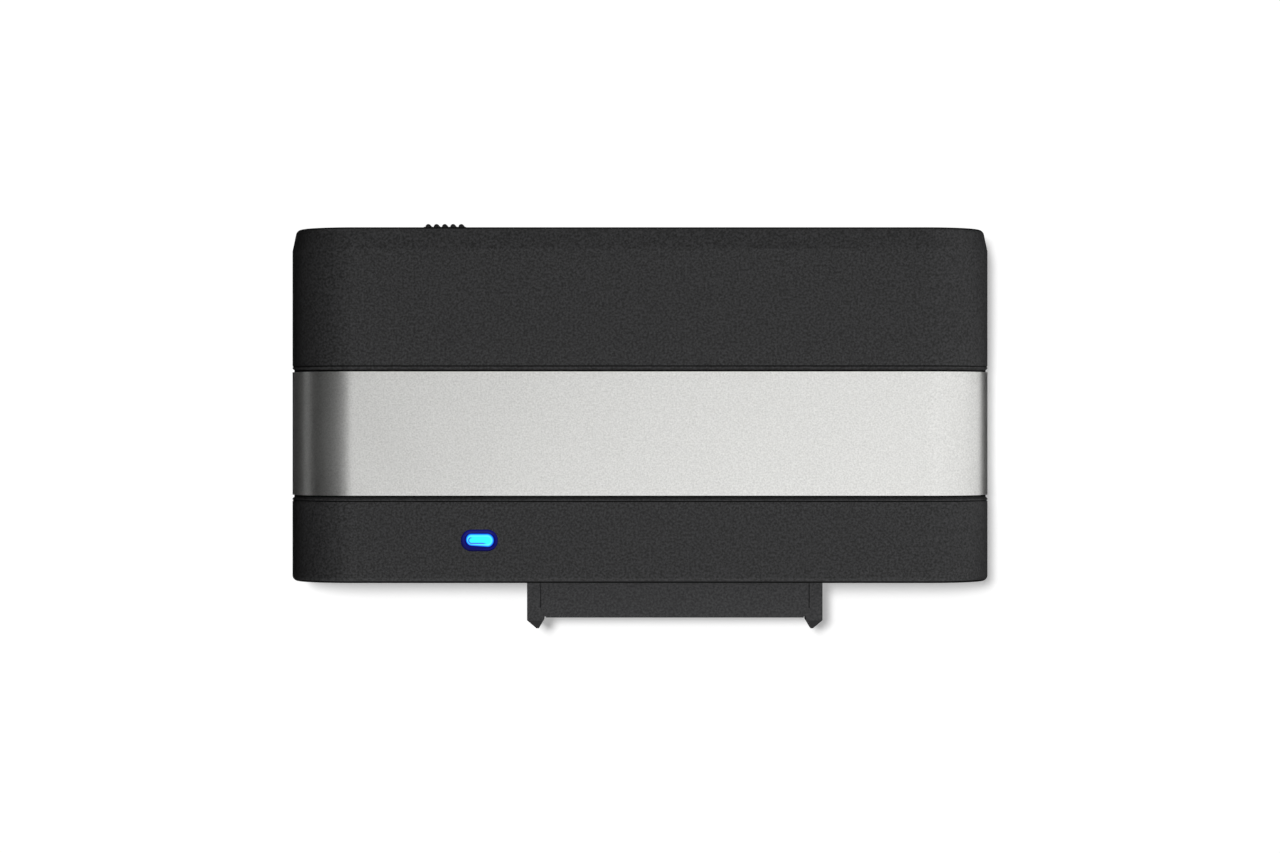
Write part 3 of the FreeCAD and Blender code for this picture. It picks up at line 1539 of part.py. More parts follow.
def clock_crystal():
    """The clock crystal: a drawn can with round ends on a flanged base."""
    body = new_body("clock_crystal", crystal_across, bridge_place, board_top)
    wide = crystal_width / 2
    long = crystal_length / 2
    flange = chip_stand * 4
    pad(body, "Flange", "XY", 0.0, flange, rounded(-wide, wide, -long, long, wide - fit))
    inset = flange
    can = rounded(inset - wide, wide - inset, inset - long, long - inset, wide - inset - fit)
    pad(body, "Can", "XY", flange, crystal_high, can)
    return body


def power_inductor():
    """The shielded coil of the voltage converter: a square ferrite case round its drum."""
    body = new_body("power_inductor", coil_across, coil_place, board_top)
    half = coil_width / 2
    pad(body, "Case", "XY", 0.0, coil_high, rounded(-half, half, -half, half, coil_corner))
    drum = (0.0, 0.0, coil_drum)
    bore = (0.0, 0.0, coil_drum + coil_groove * 2)
    cut(body, "Groove", "XY", coil_high - coil_groove_deep, coil_high, bore, drum)
    return body


def filter_capacitors():
    """Two electrolytic cans on their square plastic bases."""
    body = new_body("filter_capacitors", can_across, can_place, board_top)
    half = can_width / 2 + fit
    base = [
        (-half, -half),
        (half - can_corner, -half),
        (half, can_corner - half),
        (half, half - can_corner),
        (half - can_corner, half),
        (-half, half),
    ]
    seat = pad(body, "Seat", "XY", 0.0, can_seat, base)
    can = pad(body, "Can", "XY", can_seat, can_high, (0.0, 0.0, can_width))
    repeat(body, "Pair", [seat, can], "Y", can_width + can_seat, 2)
    dress(body, "Chamfer", "CanBevel", can_bevel, lambda edge: flat_at(edge, "Z", can_high))
    return body


def chip_row(label, x, y, width, length, height, axis, pitch, count):
    """A row of small two-ended parts, each with its ends soldered down."""
    body = new_body(label, x, y, board_top)
    core = pad(body, "Core", "XY", 0.0, height, centred(0.0, 0.0, width, length))
    repeat(body, "Row", [core], axis, pitch, count)
    return body


def rectifier_diode():
    """The rectifier: a moulded block with a folded terminal at each end."""
    body = new_body("rectifier_diode", diode_across, diode_place, board_top)
    long = diode_length / 2
    slope = diode_width / 10
    profile = [
        (-long, fit),
        (long, fit),
        (long, diode_high / 2),
        (long - slope, diode_high),
        (slope - long, diode_high),
        (-long, diode_high / 2),
    ]
    pad(body, "Block", "XZ", -diode_width / 2, diode_width / 2, profile)
    tab = rectangle(long - slope * 3, long + slope, 0.0, fit)
    tab_twin = rectangle(-long - slope, slope * 3 - long, 0.0, fit)
    pad(body, "Tabs", "XZ", -diode_width / 4, diode_width / 4, tab, tab_twin)
    return body


# Build, check and write

NODES = [
    top_cover(),
    bottom_cover(),
    trim_band(),
    rubber_feet(),
    case_screws(),
    board_screws(),
    circuit_board(),
    sata_housing(),
    slot_contacts("sata_signal_contacts", signal_across, SIGNAL_ROW),
    slot_contacts("sata_power_contacts", power_across, POWER_ROW),
    usb_shell(),
    usb_insulator(),
    usb_contacts(),
    dc_jack_body(),
    dc_jack_pin(),
    dc_jack_spring(),
    switch_frame(),
    switch_base(),
    switch_terminals(),
    switch_slider(),
    switch_wiper(),
    switch_knob(),
    status_lens(),
    status_lamp(),
    bridge_chip(),
    gull_chip("memory_chip", memory_across, memory_place, chip_wide, chip_long, CHIP_SIDE),
    gull_chip("voltage_converter", converter_across, converter_place, chip_wide, chip_long, CHIP_SIDE),
    clock_crystal(),
    power_inductor(),
    filter_capacitors(),
    rectifier_diode(),
    chip_row(
        "ceramic_capacitors",
        plug_across - bead_pitch * (SMALL_PARTS - 1) / 2,
        bridge_place + bridge_width / 2 + chip_row_gap,
        bead_width,
        bead_length,
        bead_high,
        "X",
        bead_pitch,
        SMALL_PARTS,
    ),
    chip_row(
        "chip_resistors",
        plug_across - bead_pitch * (SMALL_PARTS - 1) / 2,
        bridge_place - bridge_width / 2 - chip_row_gap,
        bead_width,
        bead_length,
        resistor_high,
        "X",
        bead_pitch,
        SMALL_PARTS,
    ),
]


def check(thing):
    """Stops at a failed feature, or at a body without one valid shape."""
    if "Invalid" in thing.State or "Error" in thing.State:
        raise RuntimeError(f"{thing.Label} failed: {thing.State}")
    if thing in NODES and (thing.Shape.isNull() or not thing.Shape.isValid()):
        raise RuntimeError(f"{thing.Label} has no valid shape")


DOC.recompute()
for thing in DOC.Objects:
    check(thing)
os.makedirs("parts", exist_ok=True)
for node in NODES:
    node.Shape.exportStep(f"parts/{node.Label}.step")
    print(f"{node.Label}: {len(node.Shape.Solids)} solids, {node.Shape.Volume:.2f} mm3")
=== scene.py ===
# %% [markdown]
# # A drive adapter, dressed in Blender
#
# The object is a wide, flat, black moulded case, about 101 mm wide. A silver band crosses it, a small lamp
# glows blue in its front strip, a drive socket stands out in front, and a switch knob shows at the rear.
# The exact shapes come ready from CAD as a fixed frame, in metres. What is left to do here is what CAD
# leaves plain: smooth skins, real finishes, the lamp's glow, and the light of a product photograph.

# %% Load the frame
import math

import bmesh
import bpy
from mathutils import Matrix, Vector


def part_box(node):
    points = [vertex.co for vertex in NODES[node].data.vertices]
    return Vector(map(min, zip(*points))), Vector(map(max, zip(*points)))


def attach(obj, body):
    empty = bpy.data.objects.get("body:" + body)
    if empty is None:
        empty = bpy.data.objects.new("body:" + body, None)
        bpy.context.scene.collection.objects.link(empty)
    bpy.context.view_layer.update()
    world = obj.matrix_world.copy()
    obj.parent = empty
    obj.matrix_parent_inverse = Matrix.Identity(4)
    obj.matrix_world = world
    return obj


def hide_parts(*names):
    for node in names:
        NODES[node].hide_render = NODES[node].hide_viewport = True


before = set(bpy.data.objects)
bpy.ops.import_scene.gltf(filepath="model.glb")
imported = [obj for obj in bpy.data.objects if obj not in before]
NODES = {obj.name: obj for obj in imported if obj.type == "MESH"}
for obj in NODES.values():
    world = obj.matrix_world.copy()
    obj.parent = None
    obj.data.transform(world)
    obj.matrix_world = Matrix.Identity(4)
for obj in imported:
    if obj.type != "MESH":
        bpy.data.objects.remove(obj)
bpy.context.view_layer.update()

MM = 0.001

# %% [markdown]
# ## The camera
#
# The photograph looks straight down. The drift of the two gaps at the ends of the band, and the lower level
# of the drive socket, say that the lens was about half a metre above the lid. A long lens from that far
# keeps the sides almost hidden, as they are in the photograph. So the camera is placed by those two facts
# and isn't turned at all: a camera that isn't turned looks down with +Y at the top of the picture.

# %% Place the camera
LID = 23.0 * MM
ABOVE_LID = 500.0 * MM
camera = bpy.data.objects.new("Camera", bpy.data.cameras.new("Camera"))
camera.data.sensor_width = 36.0
camera.data.lens = 98.7
camera.location = (0.0, -0.06 * MM, LID + ABOVE_LID)
bpy.context.scene.collection.objects.link(camera)
bpy.context.scene.camera = camera
bpy.context.scene.view_settings.view_transform = "Standard"
across = camera.data.sensor_width / camera.data.lens * ABOVE_LID
print("millimetres across the picture at the lid:", round(across / MM, 1))

# %% [markdown]
# ## Two small helpers
#
# A colour picked from a swatch is written as an sRGB hex value, but the shaders count light, so each value
# is turned to linear once, in one place. The other helper adds a node with its options and its inputs. An
# input is given by name or number. It is a value, or the socket that feeds it, or a node, which stands for
# its first output.


# %% Colour and node helpers
def linear(swatch):
    """The linear colour, with alpha, of an sRGB hex value."""
    parts = [int(swatch[i : i + 2], 16) / 255 for i in (1, 3, 5)]
    return [c / 12.92 if c <= 0.04045 else ((c + 0.055) / 1.055) ** 2.4 for c in parts] + [1.0]


def add(tree, kind, inputs=None, **options):
    """Adds a node, sets its options, and sets or links its inputs."""
    node = tree.nodes.new(kind)
    for option, value in options.items():
        setattr(node, option, value)
    for key, value in (inputs or {}).items():
        if isinstance(value, bpy.types.Node):
            value = value.outputs[0]
        if isinstance(value, bpy.types.NodeSocket):
            tree.links.new(value, node.inputs[key])
        else:
            node.inputs[key].default_value = value
    return node


print("mid grey in linear light:", [round(c, 3) for c in linear("#808080")])

# %% [markdown]
# ## The light
#
# The photograph looks lit from a white ceiling, with a broad lamp to the right of overhead: the case's left
# edge falls darker than its right one. The shadow doesn't agree with that. It is short, and peeps out on the
# right and in front, as if a small lamp hung at the rear left. So the work is shared: the key lamp lights the
# object alone, and the shadow lamp lights the floor alone, where the object stands in its way. A low lamp
# behind fills the rear wall, and a strip in front is there for what gleams. The world is the white ceiling.
# Eyes and mirrors see it at strength 1, and it gives a seventh of that as light, so that a colour renders
# about as it is written.


# %% Paint the white room
def looked_at(tree):
    """One for what an eye, a mirror or clear glass sees, and nought for the light that matt things get."""
    path = add(tree, "ShaderNodeLightPath").outputs
    eye = {0: path["Is Camera Ray"], 1: path["Is Glossy Ray"]}
    through = {0: add(tree, "ShaderNodeMath", eye, operation="MAXIMUM"), 1: path["Is Transmission Ray"]}
    return add(tree, "ShaderNodeMath", through, operation="MAXIMUM")


WHITE = (1.0, 1.0, 1.0, 1.0)
ROOM_LIGHT = 0.14
world = bpy.data.worlds.new("Studio")
world.use_nodes = True
bpy.context.scene.world = world
tree = world.node_tree
strength = add(tree, "ShaderNodeMapRange", {0: looked_at(tree), 3: ROOM_LIGHT, 4: 1.0})
background = tree.nodes["Background"]
background.inputs["Color"].default_value = WHITE
tree.links.new(strength.outputs[0], background.inputs["Strength"])
print("world strength:", ROOM_LIGHT, "as light, 1.0 to the eye and in mirrors")

# %% Hang the lamps
AIM = Vector((0, 0, 0.01))


def soft_box(name, place, size, power):
    """A flat lamp that points at the middle of the object."""
    data = bpy.data.lights.new(name, "AREA")
    data.shape = "RECTANGLE"
    data.size, data.size_y = size
    data.energy = power
    lamp = bpy.data.objects.new(name, data)
    lamp.location = place
    lamp.rotation_euler = (AIM - Vector(place)).to_track_quat("-Z", "Y").to_euler()
    bpy.context.scene.collection.objects.link(lamp)
    return lamp


key_lamp = soft_box("KeyLamp", (0.50, -0.52, 1.30), (0.40, 0.40), 21.6)
front_strip = soft_box("FrontStrip", (-0.08, -0.42, 0.68), (1.2, 0.34), 2.6)
back_fill = soft_box("BackFill", (0.15, 1.00, 0.06), (0.9, 0.10), 2.6)
shadow_lamp = soft_box("ShadowLamp", (-0.178, 0.112, 1.50), (0.18, 0.16), 18.0)
# The strip gives its light to mirrors alone, and it is the only lamp that they see. It draws the light line
# on the front rim.
front_strip.visible_diffuse = False
for lamp in (key_lamp, back_fill, shadow_lamp):
    lamp.visible_glossy = False

# %% [markdown]
# Everything from here on needs a finish: a material whose plain values are set on the shader's own sockets.
# One function makes them all, so that each finish below only says what is special about it.


# %% A helper for finishes
def new_finish(name, swatch, roughness, ior=1.5, specular=0.5, metallic=0.0):
    """A material with its colour and its surface set, and with it its node tree and its shader."""
    material = bpy.data.materials.new(name)
    material.use_nodes = True
    shader = material.node_tree.nodes["Principled BSDF"]
    shader.inputs["Base Color"].default_value = linear(swatch)
    shader.inputs["Roughness"].default_value = roughness
    shader.inputs["IOR"].default_value = ior
    shader.inputs["Specular IOR Level"].default_value = specular
    shader.inputs["Metallic"].default_value = metallic
    return material, material.node_tree, shader


paper, tree, shown = new_finish("White paper, matt", "#E4E4E4", 1.0, specular=0.0)
print("first finish:", paper.name)

# %% [markdown]
# The floor is a white sheet. In the photograph it is pure white with one soft shadow. A real sheet reaches
# that when it is lit a little more than the object. Here a share of its white is its own glow, seen by the
# eye and in mirrors, and the rest comes from the lamp and the room, so the sheet keeps the object's shadow.
# The light that it throws back at the object is that of a plain grey sheet.


# %% Lay the floor
def flat_sheet(name, corners):
    """A flat staged sheet from its corner points in metres."""
    mesh = bpy.data.meshes.new(name)
    mesh.from_pydata(corners, [], [tuple(range(len(corners)))])
    sheet = bpy.data.objects.new(name, mesh)
    bpy.context.scene.collection.objects.link(sheet)
    return sheet


floor = flat_sheet("Floor", [(-6, -6, 0), (6, -6, 0), (6, 6, 0), (-6, 6, 0)])
shown.inputs["Emission Color"].default_value = WHITE
shown.inputs["Emission Strength"].default_value = 0.35
thrown_back = add(tree, "ShaderNodeBsdfDiffuse", {"Color": linear("#7C7C7C")})
choice = add(tree, "ShaderNodeMixShader", {0: looked_at(tree), 1: thrown_back, 2: shown})
tree.links.new(choice.outputs[0], tree.nodes["Material Output"].inputs["Surface"])
floor.data.materials.append(paper)
print("floor is", floor.dimensions.x, "m wide")

# %% Share out the lamps
floor_alone = bpy.data.collections.new("FloorAlone")
floor_alone.objects.link(floor)
shadow_lamp.light_linking.receiver_collection = floor_alone
all_but_floor = bpy.data.collections.new("AllButFloor")
all_but_floor.objects.link(floor)
all_but_floor.collection_objects[0].light_linking.link_state = "EXCLUDE"
for lamp in (key_lamp, front_strip, back_fill):
    lamp.light_linking.receiver_collection = all_but_floor
print("the floor is lit by", shadow_lamp.name, "and the room")

# %% [markdown]
# Metal looks like metal only when it mirrors something dark as well. In the photograph the left end of the
# band falls to dark grey and its right end stays bright to the last millimetre, and the case has a thin black
# outline. A photographer gets that with cards outside the picture. Three stand one above the other at the
# left, dark at the foot and paler above, so that the band turns bright by degrees. One hangs aslant behind.
# Four lie on the floor: a wide one that reaches out to the left, a black one round the foot of the case, and
# two at the right, with a slit of white floor between them for the band's end. Only mirrors see them. The
# black
# one is painted shade: it stands for the floor's shadow round the case, as mirrors see it.


# %% Set the cards
def card(name, swatch, corners):
    """A matt card that only mirrors see, from its corner points in millimetres."""
    finish = new_finish(name + " card, matt", swatch, 1.0, specular=0.0)[0]
    sheet = flat_sheet(name, [(x * MM, y * MM, z * MM) for x, y, z in corners])
    sheet.data.materials.append(finish)
    sheet.visible_camera = False
    sheet.visible_diffuse = False
    sheet.visible_shadow = False
    sheet.visible_transmission = False
    return sheet


def standing(x, half_wide, low, high):
    """The corners of an upright card at the left."""
    return [(x, -half_wide, low), (x, half_wide, low), (x, half_wide, high), (x, -half_wide, high)]


def lying(left, front, right, rear, level):
    """The corners of a card just above the floor."""
    return [(left, front, level), (right, front, level), (right, rear, level), (left, rear, level)]


cards = [
    card("CardLeft", "#292929", standing(-170, 180, 10, 490)),
    card("CardLeftTop", "#656565", standing(-170, 110, 490, 1190)),
    card("CardLeftHigh", "#989898", standing(-170, 110, 1190, 1850)),
    card("CardRear", "#202020", [(120, 125, 300), (-120, 125, 300), (-120, 230, 180), (120, 230, 180)]),
    card("CardUnder", "#292929", lying(-185, -110, 80, 110, 0.2)),
    # A black sheet round the case's foot: painted shade that mirrors see in place of the floor's shadow
    # there.
    card("CardFootShade", "#080808", lying(-62, -46, 74, 40, 0.4)),
    card("CardRightRear", "#202020", lying(80, 15, 190, 90, 0.3)),
    card("CardRightFront", "#202020", lying(80, -90, 190, -17, 0.3)),
]
# The first one also keeps stray light off the object's left: a photographer calls that a flag.
cards[0].visible_diffuse = True
print("cards:", [sheet.name for sheet in cards])

# %% [markdown]
# ## Finishes
#
# Every finish starts from what the real thing is made of and how its surface came about. A moulded surface
# copies its tool: spark erosion leaves a fine random grain, so black ABS looks like very dark, very fine
# leather. The bumps are made by noise whose scale is the real grain width, and a slow second noise lets the
# gloss drift a little, because no moulding is evenly matt.

# %% Grain and mottling
# One wave of the slow noise is about 8 mm long, and most of its values lie between 0.3 and 0.7.
DRIFT_SCALE = 120.0
DRIFT_SPAN = (0.3, 0.7)
# The fine noise values that stand for the pits and for the peaks of the grain.
PIT_AND_PEAK = (0.36, 0.66)


def grain(tree, shader, width, depth, gloss=None):
    """Bumps of a real width and depth in metres, and a slow drift of the roughness between two values."""
    where = add(tree, "ShaderNodeTexCoord").outputs["Object"]
    pattern = {"Vector": where, "Scale": 1 / width, "Detail": 3.0, "Roughness": 0.6}
    fine = add(tree, "ShaderNodeTexNoise", pattern)
    bump = add(tree, "ShaderNodeBump", {"Height": fine, "Distance": depth})
    tree.links.new(bump.outputs[0], shader.inputs["Normal"])
    if gloss:
        slow = add(tree, "ShaderNodeTexNoise", {"Vector": where, "Scale": DRIFT_SCALE, "Detail": 4.0})
        span = {0: slow, 1: DRIFT_SPAN[0], 2: DRIFT_SPAN[1], 3: gloss[0], 4: gloss[1]}
        drift = add(tree, "ShaderNodeMapRange", span)
        tree.links.new(drift.outputs[0], shader.inputs["Roughness"])
    return fine


def mottled(tree, fine, low, high):
    """A colour that follows the grain, from its pits to its peaks."""
    tone = add(tree, "ShaderNodeValToRGB", {0: fine})
    for point, place, swatch in zip(tone.color_ramp.elements, PIT_AND_PEAK, (low, high)):
        point.position = place
        point.color = linear(swatch)
    return tone


print("one wave of the drift:", round(1 / DRIFT_SCALE / MM, 1), "mm")

# %% Moulded plastics
# Black ABS from a spark eroded tool. The grain is 0.05 mm on the real tool and would not show from half a
# metre, so it is drawn 0.32 mm wide, the width of the mottling in the photograph.
case_plastic, tree, shader = new_finish("Black ABS, spark textured", "#242425", 0.47, 1.53, 0.13)
fine = grain(tree, shader, 0.32 * MM, 0.04 * MM, (0.43, 0.51))
tone = mottled(tree, fine, "#202020", "#39393A")
tree.links.new(tone.outputs[0], shader.inputs["Base Color"])

# Glass filled black polyester, moulded in a tool with the same grain. The two tips that lead a plug in get
# painted shade, a darker colour for their sloped tops. It begins just in front of the nose, between these two
# depths.
SHADED_TIPS_FROM = -28.15 * MM
SHADED_TIPS_FULL = -28.30 * MM
socket_plastic, tree, shader = new_finish("Black PBT, glass filled", "#29292A", 0.5, 1.56, 0.22)
fine = grain(tree, shader, 0.32 * MM, 0.04 * MM, (0.45, 0.55))
tone = mottled(tree, fine, "#202021", "#373738")
where = add(tree, "ShaderNodeSeparateXYZ", {0: add(tree, "ShaderNodeTexCoord").outputs["Object"]})
# The painted shade on the tips: a near black mixed in towards the front.
tip_shade = add(tree, "ShaderNodeMapRange", {0: where.outputs[1], 1: SHADED_TIPS_FROM, 2: SHADED_TIPS_FULL})
tone = add(tree, "ShaderNodeMix", {0: tip_shade, 6: tone, 7: linear("#101011")}, data_type="RGBA")
tree.links.new(tone.outputs[2], shader.inputs["Base Color"])

# Black nylon of the jack, the knob and the slider: deeper than the case, with a soft gleam.
nylon, tree, shader = new_finish("Black nylon, moulded", "#111112", 0.42, 1.53)
grain(tree, shader, 0.25 * MM, 0.012 * MM, (0.36, 0.5))

# The data port's insulator is moulded in blue polyester, smooth and slightly glossy.
port_blue, tree, shader = new_finish("Blue PBT, moulded", "#1746B4", 0.36, 1.56)
grain(tree, shader, 0.25 * MM, 0.010 * MM, (0.3, 0.44))

# Matt rubber feet, with the dust-dry surface of a cast pad.
rubber, tree, shader = new_finish("Black nitrile rubber, cast", "#1A1A1A", 0.85, 1.52)
grain(tree, shader, 0.22 * MM, 0.03 * MM, (0.78, 0.92))
print("plastics:", [m.name for m in (case_plastic, socket_plastic, nylon, port_blue, rubber)])

# %% [markdown]
# Metals differ by how they were worked. The band is aluminium sheet, blasted with glass beads to an even
# satin and then clear anodised, and its long edges were cut bright afterwards. So the same metal appears
# twice: rough and slightly warm on the face, smooth on the bevels. Plating and tinning give thinner, glossier
# skins. A metal keeps the shader's default index: its colour alone says how it reflects.

# %% Metals
# Glass beads leave dimples of about 0.06 mm, which give an even sheen with no streaks. They are drawn 0.24 mm
# wide, as the photograph's grain shows them, and their tone goes from grey in the pits to near white.
blasted, tree, shader = new_finish("Aluminium, bead blasted and anodised", "#E6E6E3", 0.31, metallic=1.0)
fine = grain(tree, shader, 0.24 * MM, 0.016 * MM, (0.33, 0.37))
tone = add(tree, "ShaderNodeMix", {0: fine, 6: linear("#B6B6B3"), 7: linear("#FEFEFC")}, data_type="RGBA")
tree.links.new(tone.outputs[2], shader.inputs["Base Color"])

# The bevels: a diamond leaves them nearly as smooth as a mirror.
bright_cut, tree, shader = new_finish("Aluminium, diamond cut edge", "#F2F2F0", 0.16, metallic=1.0)
grain(tree, shader, 0.5 * MM, 0.002 * MM)

# Shells and frames: nickel is warmer than aluminium, and glossy.
nickel, tree, shader = new_finish("Steel, nickel plated", "#C9C7C2", 0.24, metallic=1.0)
grain(tree, shader, 0.8 * MM, 0.004 * MM, (0.2, 0.32))

# Contacts: a thin skin of gold keeps the gloss of the rolled spring metal below it.
gold, tree, shader = new_finish("Phosphor bronze, gold flashed", "#E6B65A", 0.22, metallic=1.0)
grain(tree, shader, 0.4 * MM, 0.003 * MM, (0.18, 0.3))

# Pins and springs that are soldered: tin is pale and a little dull.
tin, tree, shader = new_finish("Brass, tinned", "#CFCFCB", 0.33, metallic=1.0)
grain(tree, shader, 0.5 * MM, 0.006 * MM, (0.28, 0.42))

# Screws: zinc has a cool, cloudy grey.
zinc, tree, shader = new_finish("Steel, zinc plated", "#A9ABB0", 0.35, metallic=1.0)
grain(tree, shader, 0.4 * MM, 0.006 * MM, (0.3, 0.45))

# Capacitor cans: deep drawing leaves long, faint waves.
can_metal, tree, shader = new_finish("Aluminium, drawn can", "#D0D1D2", 0.3, metallic=1.0)
grain(tree, shader, 0.9 * MM, 0.004 * MM, (0.26, 0.36))
print("metals:", [m.name for m in (blasted, bright_cut, nickel, gold, tin, zinc, can_metal)])

# %% [markdown]
# Inside the case sits the board with its parts. It hardly shows through the ports, but it is finished all
# the same. Glass epoxy under green solder mask is a glossy green with a faint pattern, chips are matt black
# epoxy, and fired ceramics are rough or glazed.

# %% Board and its parts
# The copper under the mask shows through as paler lines between blocks of a slightly uneven green.
laminate, tree, shader = new_finish("Glass epoxy, green solder mask", "#14512D", 0.28, 1.54)
grain(tree, shader, 0.5 * MM, 0.006 * MM, (0.24, 0.34))
pattern = {
    "Vector": add(tree, "ShaderNodeTexCoord").outputs["Object"],
    "Color1": linear("#14512D"),
    "Color2": linear("#17572F"),
    "Mortar": linear("#2E7D44"),
    "Scale": 260.0,
    "Mortar Size": 0.03,
}
tree.links.new(add(tree, "ShaderNodeTexBrick", pattern).outputs[0], shader.inputs["Base Color"])

# Chips: pressed epoxy with a fine, dry face.
chip, tree, shader = new_finish("Black epoxy, transfer moulded", "#1B1B1D", 0.55, 1.55)
grain(tree, shader, 0.15 * MM, 0.008 * MM, (0.5, 0.62))

# The inductor: pressed and fired powder, dark and a little coarse.
ferrite, tree, shader = new_finish("Ferrite, sintered", "#2A2A2C", 0.62, 1.8)
grain(tree, shader, 0.3 * MM, 0.02 * MM, (0.55, 0.7))

# Ceramic capacitors: biscuit brown with a dull gleam.
bead, tree, shader = new_finish("Ceramic, fired brown", "#9A7A55", 0.45, 1.6)
grain(tree, shader, 0.2 * MM, 0.01 * MM, (0.4, 0.5))

# Resistors: a black glaze that gleams.
glaze, tree, shader = new_finish("Ceramic, black glazed", "#17181A", 0.3, 1.55)
grain(tree, shader, 0.2 * MM, 0.006 * MM, (0.26, 0.36))

# The switch's base: resin soaked paper, brown and half matt.
paper_board, tree, shader = new_finish("Paper laminate, brown", "#8A5A2B", 0.5, 1.5)
grain(tree, shader, 0.4 * MM, 0.01 * MM, (0.44, 0.58))

# The lamp on the board: clear resin that glows blue.
clear_resin, tree, shader = new_finish("Clear epoxy, cast", "#DDE6F2", 0.2, 1.53)
grain(tree, shader, 0.4 * MM, 0.003 * MM)
shader.inputs["Emission Color"].default_value = linear("#2F7DFF")
shader.inputs["Emission Strength"].default_value = 2.0
inner = (laminate, chip, ferrite, bead, glaze, paper_board, clear_resin)
print("inner finishes:", [m.name for m in inner])

# %% [markdown]
# A CAD piece keeps its shape and only takes a finish. Its material slots are filled with the new material,
# and nothing else about it is touched.

# %% Dress the CAD pieces
DRESS = {
    "case_screws": zinc,
    "board_screws": zinc,
    "circuit_board": laminate,
    "sata_housing": socket_plastic,
    "sata_signal_contacts": gold,
    "sata_power_contacts": gold,
    "usb_shell": nickel,
    "usb_insulator": port_blue,
    "usb_contacts": gold,
    "dc_jack_body": nylon,
    "dc_jack_pin": tin,
    "dc_jack_spring": tin,
    "switch_frame": nickel,
    "switch_base": paper_board,
    "switch_terminals": tin,
    "switch_slider": nylon,
    "switch_wiper": gold,
    "status_lamp": clear_resin,
    "bridge_chip": chip,
    "memory_chip": chip,
    "voltage_converter": chip,
    "clock_crystal": nickel,
    "power_inductor": ferrite,
    "filter_capacitors": can_metal,
    "rectifier_diode": chip,
    "ceramic_capacitors": bead,
    "chip_resistors": glaze,
}
for name, finish in DRESS.items():
    node = NODES[name]
    if not node.material_slots:
        node.data.materials.append(finish)
    for slot in node.material_slots:
        slot.material = finish
print("dressed:", len(DRESS))

# %% [markdown]
# ## The two covers
#
# The case is two moulded trays that meet at mid height. Their shape is already exact, but CAD hands it over
# as separate flat triangles, which would show as stripes along the rounded edges. So each cover is copied,
# its triangles are sewn together, and the normals are blended across every edge flatter than 30 degrees.
# Large flat faces should win over the small ones beside them: that is what weighted normals do.

# %% Sizes of the section
# The band lies flush with the skin, so its box also gives the case's side and its underside.
band_low, band_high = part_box("trim_band")
SIDE = band_high[0]
LOW = band_low[2]
BAND_FRONT = band_low[1]
BAND_REAR = band_high[1]
CROWN = 9.5 * MM
BASE = 4.0 * MM
front_gap, rear_gap = BAND_FRONT / MM, BAND_REAR / MM
print("half the case:", round(SIDE / MM, 2), "mm, width of the band:", round(rear_gap - front_gap, 2), "mm")

# %% Sew and smooth a copy
MERGE = 0.0005 * MM
CREASE_NEAR = 0.02 * MM


def smooth_copy(node, name, finish, sharp=30.0, crease_y=None, reshape=None):
    """A sewn copy of a CAD piece with smooth normals, standing for it."""
    mesh = NODES[node].data.copy()
    mesh.name = name
    work = bmesh.new()
    work.from_mesh(mesh)
    bmesh.ops.remove_doubles(work, verts=work.verts, dist=MERGE)
    bmesh.ops.dissolve_degenerate(work, edges=work.edges, dist=MERGE)
    if reshape:
        reshape(work)
    for face in work.faces:
        face.smooth = True
        face.material_index = 0
    for edge in work.edges:
        is_open = len(edge.link_faces) != 2
        in_crease = crease_y is not None and all(abs(v.co.y - crease_y) < CREASE_NEAR for v in edge.verts)
        if is_open or in_crease or edge.calc_face_angle() > math.radians(sharp):
            edge.smooth = False
    open_edges = sum(len(edge.link_faces) != 2 for edge in work.edges)
    work.to_mesh(mesh)
    work.free()
    if "custom_normal" in mesh.attributes:
        mesh.attributes.remove(mesh.attributes["custom_normal"])
    mesh.materials.clear()
    mesh.materials.append(finish)
    piece = bpy.data.objects.new(name, mesh)
    bpy.context.scene.collection.objects.link(piece)
    weighted = piece.modifiers.new("WeightedNormals", "WEIGHTED_NORMAL")
    weighted.keep_sharp = True
    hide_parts(node)
    print(name, len(mesh.polygons), "faces,", open_edges, "open edges")
    return piece


# %% [markdown]
# Three things beside the band are better drawn here than in CAD. The fine lines lie a little nearer the band
# in the photograph, and they fade out down the sides. And the band's gaps look black and shallow, even where
# they end at the sides: a small step of the cover stands up in each gap and closes it behind the band's edge.

# %% Work on the covers' skin
# Depths under the skin: the floor of the band's recess, how far the step rises from it, and between which
# depths the floor of a fine line lies.
RECESS = 0.65 * MM
STEP = 0.38 * MM
LINE_SHALLOW = 0.2 * MM
LINE_DEEP = 0.5 * MM
# The rest is counted in millimetres. CAD puts a fine line between these two distances past the band's edge.
LINE_NEAR = 0.9
LINE_FAR = 1.2
# Once they are shifted, the lines lie nearer, but not so near as this.
LINE_NEAREST = 0.6
LINE_SHIFT_REAR = 0.25
LINE_SHIFT_FRONT = 0.22
# At the case's side a line's floor rises by this much, and 3 mm further in no longer at all.
LINE_RISE = 0.22
LINE_FADE = 3
# A gap is this wide, the step stands this clear of the band's edge, and levels this close count as one.
GAP_WIDE = 0.26
CLEAR = 0.02
CLOSE = 0.01


def skin_depth(point):
    """How deep a point lies under the case's rounded section."""
    for radius, across, up, in_reach in (
        (CROWN, SIDE - CROWN, LID - CROWN, point.z > LID - CROWN),
        (BASE, SIDE - BASE, LOW + BASE, point.z < LOW + BASE),
    ):
        if in_reach and abs(point.x) > across:
            return radius - math.hypot(abs(point.x) - across, point.z - up)
    return min(SIDE - abs(point.x), LID - point.z, point.z - LOW)


